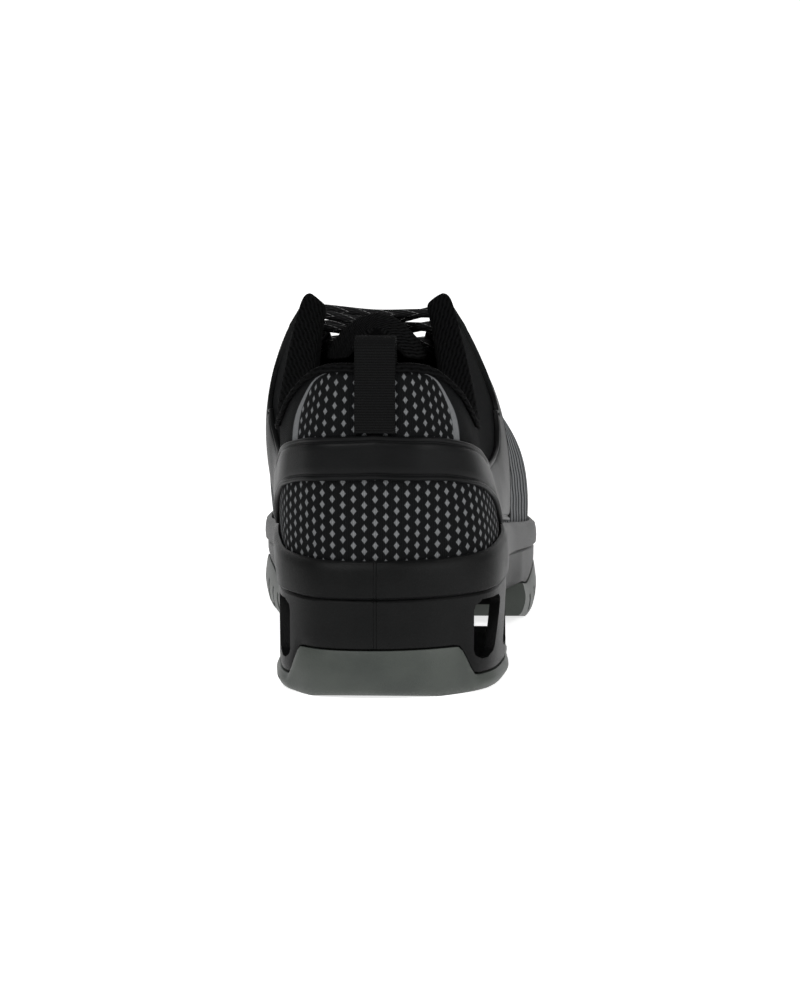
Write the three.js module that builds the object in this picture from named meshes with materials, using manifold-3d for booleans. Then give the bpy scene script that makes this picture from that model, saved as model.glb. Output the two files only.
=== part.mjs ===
import * as THREE from 'three';
import { mergeVertices } from 'three/addons/utils/BufferGeometryUtils.js';
import Module from 'manifold-3d';

// A right safety shoe of low cut, in millimetres.
// +Z is up, +Y runs to the toe and +X is the outer (lateral) side. The floor is z = 0.

// Main sizes of the shoe
const SHOE_LENGTH = 300;
const BALL_WIDTH = 114;
const COLLAR_HEIGHT = 113;
const INSTEP_HEIGHT = 132.8;
const COLLAR_WIDTH = 71;
const THROAT_WIDTH = 53;
const TOE_BOX_HEIGHT = 69;

// Sole heights above the floor
const HEEL_BED_HEIGHT = 37;
const HEEL_RIM_HEIGHT = 49;
const TOE_SPRING = 12;
const OUTSOLE_HEIGHT = 17;
const HEEL_TREAD_THICKNESS = 6;
const HEEL_REAR_LIFT = 1.5;
const FOREFOOT_REAR_LIFT = 4;
const OUTSOLE_EDGE_INSET = 2.6;

// Walls, layers and gaps
const UPPER_WALL = 2.2;
const RIM_WALL = 2;
const FEATHER_INSET = 4.5;
const FRAME_THICKNESS = 1.5;
const PAD_THICKNESS = 10;
const PAD_ROLL = 3;
const INSOLE_THICKNESS = 4;
const TONGUE_THICKNESS = 8;
const GAP = 0.3;
const PAD_GAP = 0.5;

// Heel cage of the midsole
const CAGE_WALL = 4.5;
const CAGE_CORE_WIDTH = 46;
const WINDOW_BOTTOM = 11.5;
const WINDOW_HEIGHT = 21;

// Side of the midsole
const SIDE_INSET = 0.8;
const CREASE_STEP = 1;
const CREASE_HALF_HEIGHT = 0.7;
const RIM_SWELL = 0.6;
const RIM_BEVEL = 0.8;
const ARCH_TUCK = 4;
const SIDE_FOOT_HEIGHT = 2.5;
const INSOLE_GAP = 0.8;

// Tread grooves
const LUG_GROOVE_WIDTH = 5;
const LUG_GROOVE_DEPTH = 3.5;
const SIDE_RIB_GROOVE_WIDTH = 2.4;
const SIDE_RIB_GROOVE_DEPTH = 1.4;

// Lace, eyelets and pull loop
const LACE_DIAMETER = 3.4;
const EYELET_DIAMETER = 4.6;
const EYELET_EDGE_DISTANCE = 8;
const PUNCH_LENGTH = 14;
const LACE_LIFT = 1.8;
const LACE_SAG = 0.08;
const LOOP_WIDTH = 14;
const LOOP_THICKNESS = 1.6;
const LOOP_HEIGHT = 11.8;

// Mesh fineness: stations on each side from heel to toe, rows from feather line to top line
const STATIONS = 32;
const ROWS = 9;

// Plan outline of the sole: along in shares of the length from the heel,
// across in shares of the ball width from the middle line.
const HEEL_POINT = { along: 0, across: -0.013 };
const TOE_POINT = { along: 1, across: -0.065 };
const LATERAL_OUTLINE = [
  { along: 0.0205, across: 0.189 },
  { along: 0.067, across: 0.33 },
  { along: 0.14, across: 0.383 },
  { along: 0.25, across: 0.384 },
  { along: 0.383, across: 0.408 },
  { along: 0.5, across: 0.456 },
  { along: 0.627, across: 0.499 },
  { along: 0.74, across: 0.474 },
  { along: 0.83, across: 0.43 },
  { along: 0.9, across: 0.36 },
  { along: 0.955, across: 0.25 },
  { along: 0.987, across: 0.11 },
];
const MEDIAL_OUTLINE = [
  { along: 0.0125, across: -0.198 },
  { along: 0.06, across: -0.3 },
  { along: 0.135, across: -0.337 },
  { along: 0.24, across: -0.338 },
  { along: 0.36, across: -0.347 },
  { along: 0.467, across: -0.378 },
  { along: 0.567, across: -0.443 },
  { along: 0.66, across: -0.492 },
  { along: 0.72, across: -0.503 },
  { along: 0.8, across: -0.484 },
  { along: 0.87, across: -0.445 },
  { along: 0.93, across: -0.372 },
  { along: 0.97, across: -0.282 },
  { along: 0.992, across: -0.183 },
];

// Middle line of the upper, which leans to the inner side from the heel to the instep.
const RIDGE = [
  { along: 0, across: -0.014 },
  { along: 0.22, across: -0.03 },
  { along: 0.35, across: -0.048 },
  { along: 0.6, across: -0.06 },
  { along: 0.85, across: -0.066 },
  { along: 1, across: -0.065 },
];

// Sole heights: bed and rim in shares of the heel bed and heel rim height,
// crease in shares of the heel rim height, spring in shares of the toe spring.
const SOLE_HEIGHTS = [
  { along: 0, bed: 1, rim: 0.98, crease: 0.71, spring: 0 },
  { along: 0.06, bed: 1, rim: 1.0, crease: 0.72, spring: 0 },
  { along: 0.2, bed: 1, rim: 1.07, crease: 0.77, spring: 0 },
  { along: 0.4, bed: 0.86, rim: 0.93, crease: 0.68, spring: 0 },
  { along: 0.6, bed: 0.65, rim: 0.78, crease: 0.57, spring: 0 },
  { along: 0.75, bed: 0.6, rim: 0.74, crease: 0.54, spring: 0 },
  { along: 0.85, bed: 0.64, rim: 0.78, crease: 0.58, spring: 0.12 },
  { along: 0.93, bed: 0.7, rim: 0.88, crease: 0.66, spring: 0.45 },
  { along: 1, bed: 0.78, rim: 1.0, crease: 0.76, spring: 1 },
];

// Top edge of the forefoot outsole, a wave in shares of the outsole height.
const OUTSOLE_WAVE = [
  { along: 0.49, top: 1.02 },
  { along: 0.54, top: 0.88 },
  { along: 0.6, top: 1.08 },
  { along: 0.66, top: 1.2 },
  { along: 0.73, top: 1.02 },
  { along: 0.79, top: 0.96 },
  { along: 0.86, top: 1.1 },
  { along: 0.93, top: 1.2 },
  { along: 1, top: 1.45 },
];
const FOREFOOT_START = 0.49;
const FOREFOOT_REAR_RUN = 0.07;
const HEEL_PLATE_END = 0.275;
const HEEL_REAR_RUN = 0.02;

// Section of the outsole's edge: height in shares of its own height there, and inset from
// the outline in shares of the outsole edge inset.
const OUTSOLE_EDGE = [
  { height: 0, inset: 1 },
  { height: 0.22, inset: 0.27 },
  { height: 0.5, inset: -0.15 },
  { height: 0.8, inset: 0.08 },
  { height: 1, inset: 0.3 },
];

// Tread grooves, in pairs that slant away from the middle line: places along the length,
// centre and length in shares of the ball width, and slant in degrees.
const HEEL_GROOVES = { alongs: [0.075, 0.14, 0.205], centre: 0.19, length: 0.34, slant: 14 };
const FOREFOOT_GROOVES = {
  alongs: [0.585, 0.645, 0.705, 0.765, 0.825, 0.885],
  centre: 0.27,
  length: 0.44,
  slant: 12,
};

// Grooves between the forefoot's side ribs: first and last run, pitch, slant in degrees,
// and centre and height in shares of the outsole's height.
const SIDE_GROOVES = { first: 0.53, last: 0.9, pitch: 0.035, slant: 14, centre: 0.36, height: 0.62 };

// Heel windows on each side: where they start and end low and high, as shares of the run.
const HEEL_WINDOWS = [
  { rearLow: 0.105, rearHigh: 0.105, frontLow: 0.14, frontHigh: 0.169 },
  { rearLow: 0.18, rearHigh: 0.205, frontLow: 0.225, frontHigh: 0.25 },
];
const CHANNEL_START = 0.043;
const CHANNEL_END = 0.32;
const HEEL_TAB_RUN = 0.085;
const HEEL_TAB_SLOPE_RUN = 0.025;

// Top line of the upper from the heel over the collar dip and the instep peak to the
// throat end. run is the share of the way from heel to toe on the outline. Half widths are
// shares of the collar and throat widths, heights of the collar and instep heights, and
// each pair adds up. lean is the tilt of the wall at its edge, in degrees from upright.
const TOP_LINE = [
  { run: 0, along: 0.027, collar: 0, throat: 0, heel: 1, instep: 0, lean: 12 },
  { run: 0.05, along: 0.031, collar: 0.2, throat: 0, heel: 1, instep: 0, lean: 12 },
  { run: 0.09, along: 0.042, collar: 0.29, throat: 0, heel: 0.985, instep: 0, lean: 12 },
  { run: 0.14, along: 0.08, collar: 0.4, throat: 0, heel: 0.917, instep: 0, lean: 13 },
  { run: 0.195, along: 0.143, collar: 0.475, throat: 0, heel: 0.824, instep: 0, lean: 14 },
  { run: 0.265, along: 0.22, collar: 0.5, throat: 0, heel: 0.788, instep: 0, lean: 16 },
  { run: 0.32, along: 0.28, collar: 0.48, throat: 0, heel: 0.492, instep: 0.332, lean: 27 },
  { run: 0.36, along: 0.32, collar: 0.22, throat: 0.285, heel: 0.2, instep: 0.705, lean: 36 },
  { run: 0.395, along: 0.35, collar: 0, throat: 0.5, heel: 0, instep: 0.992, lean: 41 },
  { run: 0.43, along: 0.387, collar: 0, throat: 0.44, heel: 0, instep: 0.977, lean: 47 },
  { run: 0.48, along: 0.443, collar: 0, throat: 0.38, heel: 0, instep: 0.915, lean: 53 },
  { run: 0.53, along: 0.5, collar: 0, throat: 0.33, heel: 0, instep: 0.846, lean: 60 },
  { run: 0.58, along: 0.557, collar: 0, throat: 0.27, heel: 0, instep: 0.781, lean: 68 },
  { run: 0.615, along: 0.6, collar: 0, throat: 0.17, heel: 0, instep: 0.735, lean: 78 },
  { run: 0.64, along: 0.627, collar: 0, throat: 0, heel: 0, instep: 0.7115, lean: 90 },
];
const THROAT_END_RUN = 0.64;
const VAMP_LINE = [
  { run: 0.64, along: 0.627, drop: 0 },
  { run: 0.7, along: 0.687, drop: 0.27 },
  { run: 0.78, along: 0.763, drop: 0.57 },
  { run: 0.87, along: 0.833, drop: 0.79 },
  { run: 0.94, along: 0.88, drop: 0.92 },
  { run: 1, along: 0.905, drop: 1 },
];

// Shape of the ribs between feather line and top line, in shares of the rib's chord:
// rise and reach of the two handles, and how far each side swells out, low and near its top.
const RIB_SHAPE = [
  { run: 0, rise: 0.33, reach: 0.33, outer: 0.02, inner: 0.02, outerTop: 0, innerTop: 0 },
  { run: 0.1, rise: 0.33, reach: 0.33, outer: 0.03, inner: 0.035, outerTop: 0, innerTop: 0.01 },
  { run: 0.2, rise: 0.36, reach: 0.35, outer: 0.08, inner: 0.13, outerTop: -0.02, innerTop: 0.04 },
  { run: 0.3, rise: 0.36, reach: 0.38, outer: 0.1, inner: 0.2, outerTop: -0.06, innerTop: 0.1 },
  { run: 0.39, rise: 0.36, reach: 0.4, outer: 0.06, inner: 0.17, outerTop: -0.06, innerTop: 0.1 },
  { run: 0.48, rise: 0.4, reach: 0.46, outer: 0.05, inner: 0.12, outerTop: -0.03, innerTop: 0.07 },
  { run: 0.56, rise: 0.44, reach: 0.52, outer: 0.05, inner: 0.09, outerTop: 0, innerTop: 0.03 },
  { run: 0.7, rise: 0.48, reach: 0.58, outer: 0.045, inner: 0.045, outerTop: 0, innerTop: 0 },
  { run: 0.85, rise: 0.5, reach: 0.58, outer: 0.04, inner: 0.04, outerTop: 0, innerTop: 0 },
  { run: 1, rise: 0.55, reach: 0.6, outer: 0.03, inner: 0.03, outerTop: 0, innerTop: 0 },
];

// Moulded frame on the upper: lower and upper edge in shares of the collar height.
// A low below the midsole rim stops at the rim, and a high above the top line stops there.
const FRAME_EDGES = [
  { run: 0, low: 0.674, high: 0.808 },
  { run: 0.1, low: 0.654, high: 0.786 },
  { run: 0.16, low: 0.609, high: 0.742 },
  { run: 0.21, low: 0.54, high: 0.684 },
  { run: 0.245, low: 0.451, high: 0.66 },
  { run: 0.275, low: 0.3, high: 0.65 },
  { run: 0.3, low: 0.15, high: 0.652 },
  { run: 0.33, low: 0.1, high: 0.664 },
  { run: 0.36, low: 0.1, high: 0.705 },
  { run: 0.385, low: 0.33, high: 0.79 },
  { run: 0.4, low: 0.55, high: 0.9 },
  { run: 0.41, low: 0.68, high: 1.4 },
  { run: 0.425, low: 0.82, high: 1.4 },
  { run: 0.45, low: 0.88, high: 1.4 },
  { run: 0.48, low: 0.867, high: 1.4 },
  { run: 0.53, low: 0.808, high: 1.4 },
  { run: 0.58, low: 0.748, high: 1.4 },
  { run: 0.62, low: 0.719, high: 1.4 },
  { run: 0.69, low: 0.719, high: 1.4 },
];
const FRAME_END_RUN = 0.68;
const FRAME_ROWS = 5;

// Padded collar: thickness in shares of the pad thickness.
const PAD_SHAPE = [
  { run: 0, thick: 0.9 },
  { run: 0.15, thick: 1 },
  { run: 0.3, thick: 0.95 },
  { run: 0.36, thick: 0.75 },
  { run: 0.41, thick: 0.55 },
];
const PAD_ROWS = 5;
const PAD_END_RUN = 0.405;

// Section of the pad's roll and its inner face: rise above the top edge in shares of the
// pad's roll, and depth in shares of its thickness there. The crest lies on the edge of the
// upper, and belly and foot are the depths half way down and at the bottom.
const PAD_SECTION = [
  { rise: 1, depth: 0.3 },
  { rise: 0.8, depth: 0.7 },
  { rise: -0.4, depth: 0.97 },
  { rise: -2, depth: 1 },
];
const PAD_CREST = 0.7;
const PAD_BELLY = 0.8;
const PAD_FOOT = 0.2;

// Tongue, from its free end back to where it is sewn under the vamp: top and drop to the
// sides in shares of the instep height, half width in shares of the throat width.
const TONGUE = [
  { along: 0.322, top: 0.959, half: 0.34, drop: 0.12, thick: 0.8 },
  { along: 0.335, top: 0.964, half: 0.355, drop: 0.11, thick: 1 },
  { along: 0.36, top: 0.952, half: 0.36, drop: 0.09, thick: 1 },
  { along: 0.395, top: 0.918, half: 0.4, drop: 0.065, thick: 0.9 },
  { along: 0.443, top: 0.872, half: 0.44, drop: 0.055, thick: 0.8 },
  { along: 0.5, top: 0.816, half: 0.44, drop: 0.055, thick: 0.7 },
  { along: 0.557, top: 0.754, half: 0.43, drop: 0.055, thick: 0.6 },
  { along: 0.6, top: 0.71, half: 0.42, drop: 0.055, thick: 0.5 },
  { along: 0.627, top: 0.6825, half: 0.4, drop: 0.05, thick: 0.45 },
  { along: 0.66, top: 0.6585, half: 0.38, drop: 0.045, thick: 0.4 },
];
const TONGUE_EDGE_THINNING = 0.35;
const TONGUE_STEPS = 16;
const TONGUE_COLUMNS = 8;

// Eyelet rows from the top of the throat down, as shares of the run from heel to toe. Two
// laces that meet at an eyelet lie this far apart along the run, and a lace sags between the
// throat's edges by a share of the way across.
const EYELET_RUNS = [0.423, 0.461, 0.5, 0.539, 0.577];
const LACE_SPREAD = 0.007;
const LACE_SIDES = 6;
const LACE_STEPS = 8;

// Pull loop's way from the heel band up, over the edge and down inside the collar: height
// in shares from the top edge to the loop's top, and depth from its outer to its inner leg.
const LOOP_ARCH = [
  { height: 0.74, depth: 0.06 },
  { height: 1, depth: 0.46 },
  { height: 0.72, depth: 0.96 },
  { height: -0.1, depth: 1.08 },
  { height: -1.1, depth: 1.05 },
];
const LOOP_STEPS = 22;

const wasm = await Module();
wasm.setup();

const lerp = THREE.MathUtils.lerp;

// Smooth curve through table values: cubic pieces whose slopes come from the neighbours.
function smoothAt(keys, values, at) {
  const last = keys.length - 1;
  const place = Math.min(Math.max(at, keys[0]), keys[last]);
  let k = 0;
  while (k < last - 1 && place > keys[k + 1]) k += 1;
  const slope = (j) => {
    const before = Math.max(j - 1, 0);
    const after = Math.min(j + 1, last);
    if (before === j) return (values[after] - values[j]) / (keys[after] - keys[j]);
    if (after === j) return (values[j] - values[before]) / (keys[j] - keys[before]);
    const stepBefore = keys[j] - keys[before];
    const stepAfter = keys[after] - keys[j];
    const riseBefore = (values[j] - values[before]) / stepBefore;
    const riseAfter = (values[after] - values[j]) / stepAfter;
    return (riseBefore * stepAfter + riseAfter * stepBefore) / (stepBefore + stepAfter);
  };
  const step = keys[k + 1] - keys[k];
  const t = (place - keys[k]) / step;
  const t2 = t * t;
  const t3 = t2 * t;
  return (2 * t3 - 3 * t2 + 1) * values[k] + (t3 - 2 * t2 + t) * step * slope(k)
    + (3 * t2 - 2 * t3) * values[k + 1] + (t3 - t2) * step * slope(k + 1);
}

function column(rows, key, name, at) {
  return smoothAt(rows.map((row) => row[key]), rows.map((row) => row[name]), at);
}

const alongToY = (along) => (along - 0.5) * SHOE_LENGTH;
const yToAlong = (y) => y / SHOE_LENGTH + 0.5;
const ridgeX = (along) => column(RIDGE, 'along', 'across', along) * BALL_WIDTH;
const bedHeight = (along) => column(SOLE_HEIGHTS, 'along', 'bed', along) * HEEL_BED_HEIGHT;
const rimHeight = (along) => column(SOLE_HEIGHTS, 'along', 'rim', along) * HEEL_RIM_HEIGHT;
const creaseHeight = (along) => column(SOLE_HEIGHTS, 'along', 'crease', along) * HEEL_RIM_HEIGHT;
const springHeight = (along) => {
  return Math.max(column(SOLE_HEIGHTS, 'along', 'spring', along), 0) * TOE_SPRING;
};

// The closed outline of the sole, as one smooth loop keyed by its chord length.
function makeOutline() {
  const loop = [HEEL_POINT, ...LATERAL_OUTLINE, TOE_POINT, ...[...MEDIAL_OUTLINE].reverse()];
  const points = loop.map((row) => new THREE.Vector2(row.across * BALL_WIDTH, alongToY(row.along)));
  const count = points.length;
  const wrapped = [];
  for (let i = -2; i <= count + 2; i += 1) wrapped.push(points[(i + count) % count]);
  const keys = [0];
  for (let i = 1; i < wrapped.length; i += 1) {
    keys.push(keys[i - 1] + wrapped[i].distanceTo(wrapped[i - 1]));
  }
  const xs = wrapped.map((point) => point.x);
  const ys = wrapped.map((point) => point.y);
  const heelKey = keys[2];
  const toeKey = keys[2 + LATERAL_OUTLINE.length + 1];
  const endKey = keys[2 + count];
  const pointAt = (side, run) => {
    const key = side > 0 ? lerp(heelKey, toeKey, run) : lerp(endKey, toeKey, run);
    return new THREE.Vector2(smoothAt(keys, xs, key), smoothAt(keys, ys, key));
  };
  return pointAt;
}

const outlinePoint = makeOutline();

// A station is a place on the outline with its outward direction.
function makeStation(side, run) {
  const nudge = 0.001;
  const point = outlinePoint(side, run);
  const ahead = outlinePoint(side, Math.min(run + nudge, 1));
  const behind = outlinePoint(side, Math.max(run - nudge, 0));
  const tangent = ahead.sub(behind).multiplyScalar(side).normalize();
  const outward = new THREE.Vector2(tangent.y, -tangent.x);
  if (run === 0) outward.set(0, -1);
  if (run === 1) outward.set(0, 1);
  return { side, run, point, outward, along: yToAlong(point.y) };
}

// Stations run from the heel along the outer side to the toe and back along the inner
// side, and they lie closer together at the heel and the toe.
const CROWDING = 0.05;
const stations = [];
for (let i = 0; i < 2 * STATIONS; i += 1) {
  const side = i <= STATIONS ? 1 : -1;
  const share = side > 0 ? i / STATIONS : 2 - i / STATIONS;
  stations.push(makeStation(side, share - CROWDING * Math.sin(2 * Math.PI * share)));
}

function plan(station, inset, z) {
  const { point, outward } = station;
  return new THREE.Vector3(point.x - outward.x * inset, point.y - outward.y * inset, z);
}

// Top line at one run: its point, its tilt from upright, and the slope of the vamp line.
function topLine(side, run) {
  if (run <= THROAT_END_RUN) {
    const value = (name) => column(TOP_LINE, 'run', name, run);
    const along = value('along');
    const half = run === 0 ? 0 : value('collar') * COLLAR_WIDTH + value('throat') * THROAT_WIDTH;
    const z = value('heel') * COLLAR_HEIGHT + value('instep') * INSTEP_HEIGHT;
    const tilt = THREE.MathUtils.degToRad(value('lean'));
    return { at: new THREE.Vector3(ridgeX(along) + side * half, alongToY(along), z), tilt, slope: 0 };
  }
  const throatHeight = TOP_LINE.at(-1).instep * INSTEP_HEIGHT;
  const vampHeight = (at) => lerp(throatHeight, TOE_BOX_HEIGHT, column(VAMP_LINE, 'run', 'drop', at));
  const vampY = (at) => alongToY(column(VAMP_LINE, 'run', 'along', at));
  const step = 0.01;
  const from = Math.max(run - step, THROAT_END_RUN);
  const to = Math.min(run + step, 1);
  const slope = (vampHeight(to) - vampHeight(from)) / (vampY(to) - vampY(from));
  const y = vampY(run);
  const at = new THREE.Vector3(ridgeX(yToAlong(y)), y, vampHeight(run));
  return { at, tilt: Math.PI / 2, slope };
}

// One rib of the upper: a cubic curve from the feather line up and over to the top line.
function ribPoint(station, share) {
  const { side, run, along } = station;
  const foot = plan(station, FEATHER_INSET, bedHeight(along) + GAP);
  const { at: top, tilt, slope } = topLine(side, run);
  const shape = (name) => column(RIB_SHAPE, 'run', name, run);
  const chord = foot.distanceTo(top);
  const swell = shape(side > 0 ? 'outer' : 'inner') * chord;
  const { x: outX, y: outY } = station.outward;
  const rise = new THREE.Vector3(outX * swell, outY * swell, shape('rise') * chord);
  const out = new THREE.Vector3(foot.x - top.x, foot.y - top.y, 0).normalize();
  if (run === 0 || run === 1) out.set(0, run === 0 ? -1 : 1, 0);
  out.z = slope * out.y;
  const reach = out.multiplyScalar(Math.sin(tilt));
  reach.z -= Math.cos(tilt);
  reach.multiplyScalar(shape('reach') * chord);
  const topSwell = shape(side > 0 ? 'outerTop' : 'innerTop') * chord;
  reach.x += outX * topSwell;
  reach.y += outY * topSwell;
  const curve = new THREE.CubicBezierCurve3(foot, foot.clone().add(rise), top.clone().add(reach), top);
  return curve.getPoint(share);
}

// The normal at each point of a closed grid, from the faces that meet there. Points that
// the two halves of the grid share, as on the vamp's middle line, get one normal.
function gridNormals(grid) {
  const sums = new Map();
  const add = (at, normal) => {
    const key = placeKey(at);
    if (!sums.has(key)) sums.set(key, new THREE.Vector3());
    sums.get(key).add(normal);
  };
  grid.forEach((line, i) => {
    const next = grid[(i + 1) % grid.length];
    for (let j = 0; j < line.length - 1; j += 1) {
      const corners = [line[j], next[j], next[j + 1], line[j + 1]];
      const acrossOne = corners[2].clone().sub(corners[0]);
      const acrossTwo = corners[3].clone().sub(corners[1]);
      const normal = acrossOne.cross(acrossTwo);
      corners.forEach((corner) => add(corner, normal));
    }
  });
  return grid.map((line) => line.map((at) => sums.get(placeKey(at)).clone().normalize()));
}

// A wall between two grids of equal layout, closed by a strip round every free edge.
// Places that the two halves of a grid share, as on the vamp's middle line, become one.
function wallBetween(outer, inner, closedLoop) {
  const outerPoints = [];
  const innerPoints = [];
  const known = new Map();
  const number = (i, j) => {
    const at = outer[i][j];
    const key = placeKey(at);
    if (!known.has(key)) {
      known.set(key, outerPoints.length);
      outerPoints.push(at);
      innerPoints.push(inner[i][j]);
    }
    return known.get(key);
  };
  const faces = [];
  const edges = new Map();
  const columns = closedLoop ? outer.length : outer.length - 1;
  const triangles = [];
  for (let i = 0; i < columns; i += 1) {
    const next = (i + 1) % outer.length;
    for (let j = 0; j < outer[0].length - 1; j += 1) {
      const [a, b, c, d] = [number(i, j), number(next, j), number(next, j + 1), number(i, j + 1)];
      triangles.push([a, b, c], [a, c, d]);
    }
  }
  const count = outerPoints.length;
  for (const [a, b, c] of triangles) {
    if (a === b || b === c || c === a) continue;
    faces.push(a, b, c, a + count, c + count, b + count);
    for (const [from, to] of [[a, b], [b, c], [c, a]]) edges.set(`${from}_${to}`, [from, to]);
  }
  for (const [from, to] of edges.values()) {
    if (!edges.has(`${to}_${from}`)) {
      faces.push(to, from, from + count, to, from + count, to + count);
    }
  }
  return indexed([...outerPoints, ...innerPoints], faces);
}

function indexed(points, faces) {
  const geometry = new THREE.BufferGeometry();
  const positions = points.flatMap((point) => [point.x, point.y, point.z]);
  geometry.setAttribute('position', new THREE.Float32BufferAttribute(positions, 3));
  geometry.setIndex(faces);
  return geometry;
}

function placeKey(at) {
  return [at.x, at.y, at.z].map((value) => value.toFixed(2)).join(' ');
}

// A closed solid from a stack of loops with equal counts. Each loop is closed, and the
// first and last are capped by strips between the points that fold onto each other.
function stackLoops(loops, fold) {
  const count = loops[0].length;
  const faces = [];
  for (let k = 0; k < loops.length - 1; k += 1) {
    for (let i = 0; i < count; i += 1) {
      const next = (i + 1) % count;
      const a = k * count + i;
      const b = k * count + next;
      faces.push(a, b, b + count, a, b + count, a + count);
    }
  }
  const other = (i) => (fold - i + count) % count;
  const cap = (base, flip) => {
    for (let i = 0; i < Math.floor(fold / 2); i += 1) {
      const [a, b, c, d] = [i, i + 1, other(i + 1), other(i)];
      const corners = [[a, b, c], [a, c, d]];
      for (const corner of corners) {
        if (new Set(corner).size < 3) continue;
        const [p, q, r] = flip ? [...corner].reverse() : corner;
        faces.push(base + p, base + q, base + r);
      }
    }
  };
  cap(0, true);
  cap((loops.length - 1) * count, false);
  return indexed(loops.flat(), faces);
}

function toManifold(geometry) {
  const bare = geometry.clone();
  bare.deleteAttribute('normal');
  bare.deleteAttribute('uv');
  const merged = mergeVertices(bare, 0.0001);
  const vertProperties = new Float32Array(merged.getAttribute('position').array);
  const triVerts = new Uint32Array(merged.index.array);
  return new wasm.Manifold(new wasm.Mesh({ numProp: 3, vertProperties, triVerts }));
}

function fromManifold(solid) {
  const mesh = solid.getMesh();
  const geometry = new THREE.BufferGeometry();
  geometry.setAttribute('position', new THREE.Float32BufferAttribute(mesh.vertProperties, 3));
  geometry.setIndex([...mesh.triVerts]);
  return geometry;
}

function cut(geometry, cutters) {
  const whole = toManifold(geometry);
  return fromManifold(cutters.reduce((solid, cutter) => solid.subtract(toManifold(cutter)), whole));
}

function join(geometries) {
  return fromManifold(geometries.map(toManifold).reduce((solid, other) => solid.add(other)));
}

// Upper: ribs at every station, merged into one surface that opens at collar and throat.
const ribs = stations.map((station) => {
  const points = [];
  for (let row = 0; row <= ROWS; row += 1) points.push(ribPoint(station, row / ROWS));
  return points;
});
const ribNormals = gridNormals(ribs);

// A point on the faceted upper: station number, share of the rib, and distance off the
// surface. A station number with a half lies midway between two stations.
function onUpper(number, share, lift) {
  const place = Math.min(Math.max(share, 0), 1) * ROWS;
  const row = Math.min(Math.floor(place), ROWS - 1);
  const part = place - row;
  const ends = [Math.floor(number), Math.ceil(number)].map((i) => i % stations.length).map((i) => {
    const at = ribs[i][row].clone().lerp(ribs[i][row + 1], part);
    const normal = ribNormals[i][row].clone().lerp(ribNormals[i][row + 1], part).normalize();
    return at.addScaledVector(normal, lift);
  });
  return ends[0].lerp(ends[1], number - Math.floor(number));
}

// The share of a rib at which it reaches a height, or 1 where the rib ends below it.
function shareAtHeight(number, z) {
  for (let row = 0; row < ROWS; row += 1) {
    const low = onUpper(number, row / ROWS, 0).z;
    const high = onUpper(number, (row + 1) / ROWS, 0).z;
    if (z <= high) return (row + Math.max(z - low, 0) / (high - low)) / ROWS;
  }
  return 1;
}

function layer(lift) {
  return ribs.map((points, i) => points.map((point, row) => onUpper(i, row / ROWS, lift)));
}

// The numbers of the stations up to a run, from the inner side round the heel to the outer.
function roundHeel(endRun) {
  const last = stations.findIndex((station) => station.run > endRun) - 1;
  const numbers = [];
  for (let k = -last; k <= last; k += 1) numbers.push((k + stations.length) % stations.length);
  return numbers;
}

function roundToe(startAlong) {
  const first = stations.findIndex((station) => station.along >= startAlong);
  const numbers = [];
  for (let k = first; k <= stations.length - first; k += 1) numbers.push(k);
  return numbers;
}

function makeUpper() {
  return cut(wallBetween(ribs, layer(-UPPER_WALL), true), eyeletPunches());
}

// Outsole: a heel plate with a tab up the back, and a forefoot with a wavy top edge.
function outsoleTop(station) {
  const { along, run } = station;
  if (along <= HEEL_PLATE_END) {
    const past = THREE.MathUtils.clamp((run - HEEL_TAB_RUN) / HEEL_TAB_SLOPE_RUN, 0, 1);
    return lerp(OUTSOLE_HEIGHT, HEEL_TREAD_THICKNESS, past);
  }
  return column(OUTSOLE_WAVE, 'along', 'top', along) * OUTSOLE_HEIGHT;
}

function treadHeight(along) {
  const rearLift = HEEL_REAR_LIFT * Math.max(1 - along / HEEL_REAR_RUN, 0);
  const fromArch = Math.max((FOREFOOT_START - along) / FOREFOOT_REAR_RUN + 1, 0);
  const archLift = along > HEEL_PLATE_END ? FOREFOOT_REAR_LIFT * fromArch : 0;
  return rearLift + archLift + springHeight(along);
}

function outsoleLoops(numbers) {
  return OUTSOLE_EDGE.map(({ height, inset }) => numbers.map((i) => {
    const low = treadHeight(stations[i].along);
    const z = lerp(low, outsoleTop(stations[i]), height);
    return plan(stations[i], inset * OUTSOLE_EDGE_INSET, z);
  }));
}

// A pair of tread grooves at each place of a groove table, one on each side.
function treadGrooves({ alongs, centre, length, slant }) {
  const grooves = [];
  for (const along of alongs) {
    for (const side of [-1, 1]) {
      const groove = new THREE.BoxGeometry(length * BALL_WIDTH, LUG_GROOVE_WIDTH, 2 * LUG_GROOVE_DEPTH);
      groove.rotateZ(side * THREE.MathUtils.degToRad(slant));
      const x = ridgeX(along) + side * centre * BALL_WIDTH;
      grooves.push(groove.translate(x, alongToY(along), treadHeight(along)));
    }
  }
  return grooves;
}

// Slanted grooves that stand in the side of the forefoot outsole, between its ribs.
function sideGrooves() {
  const { first, last, pitch, slant, centre, height } = SIDE_GROOVES;
  const grooves = [];
  for (const side of [-1, 1]) {
    for (let run = first; run < last; run += pitch) {
      const station = makeStation(side, run);
      const low = treadHeight(station.along);
      const tall = outsoleTop(station) - low;
      const groove = new THREE.BoxGeometry(2 * SIDE_RIB_GROOVE_DEPTH, SIDE_RIB_GROOVE_WIDTH, tall * height);
      groove.rotateX(side * THREE.MathUtils.degToRad(slant));
      groove.rotateZ(Math.atan2(station.outward.y, station.outward.x));
      const at = plan(station, OUTSOLE_EDGE[2].inset * OUTSOLE_EDGE_INSET, low + tall * centre);
      grooves.push(groove.translate(at.x, at.y, at.z));
    }
  }
  return grooves;
}

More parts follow.
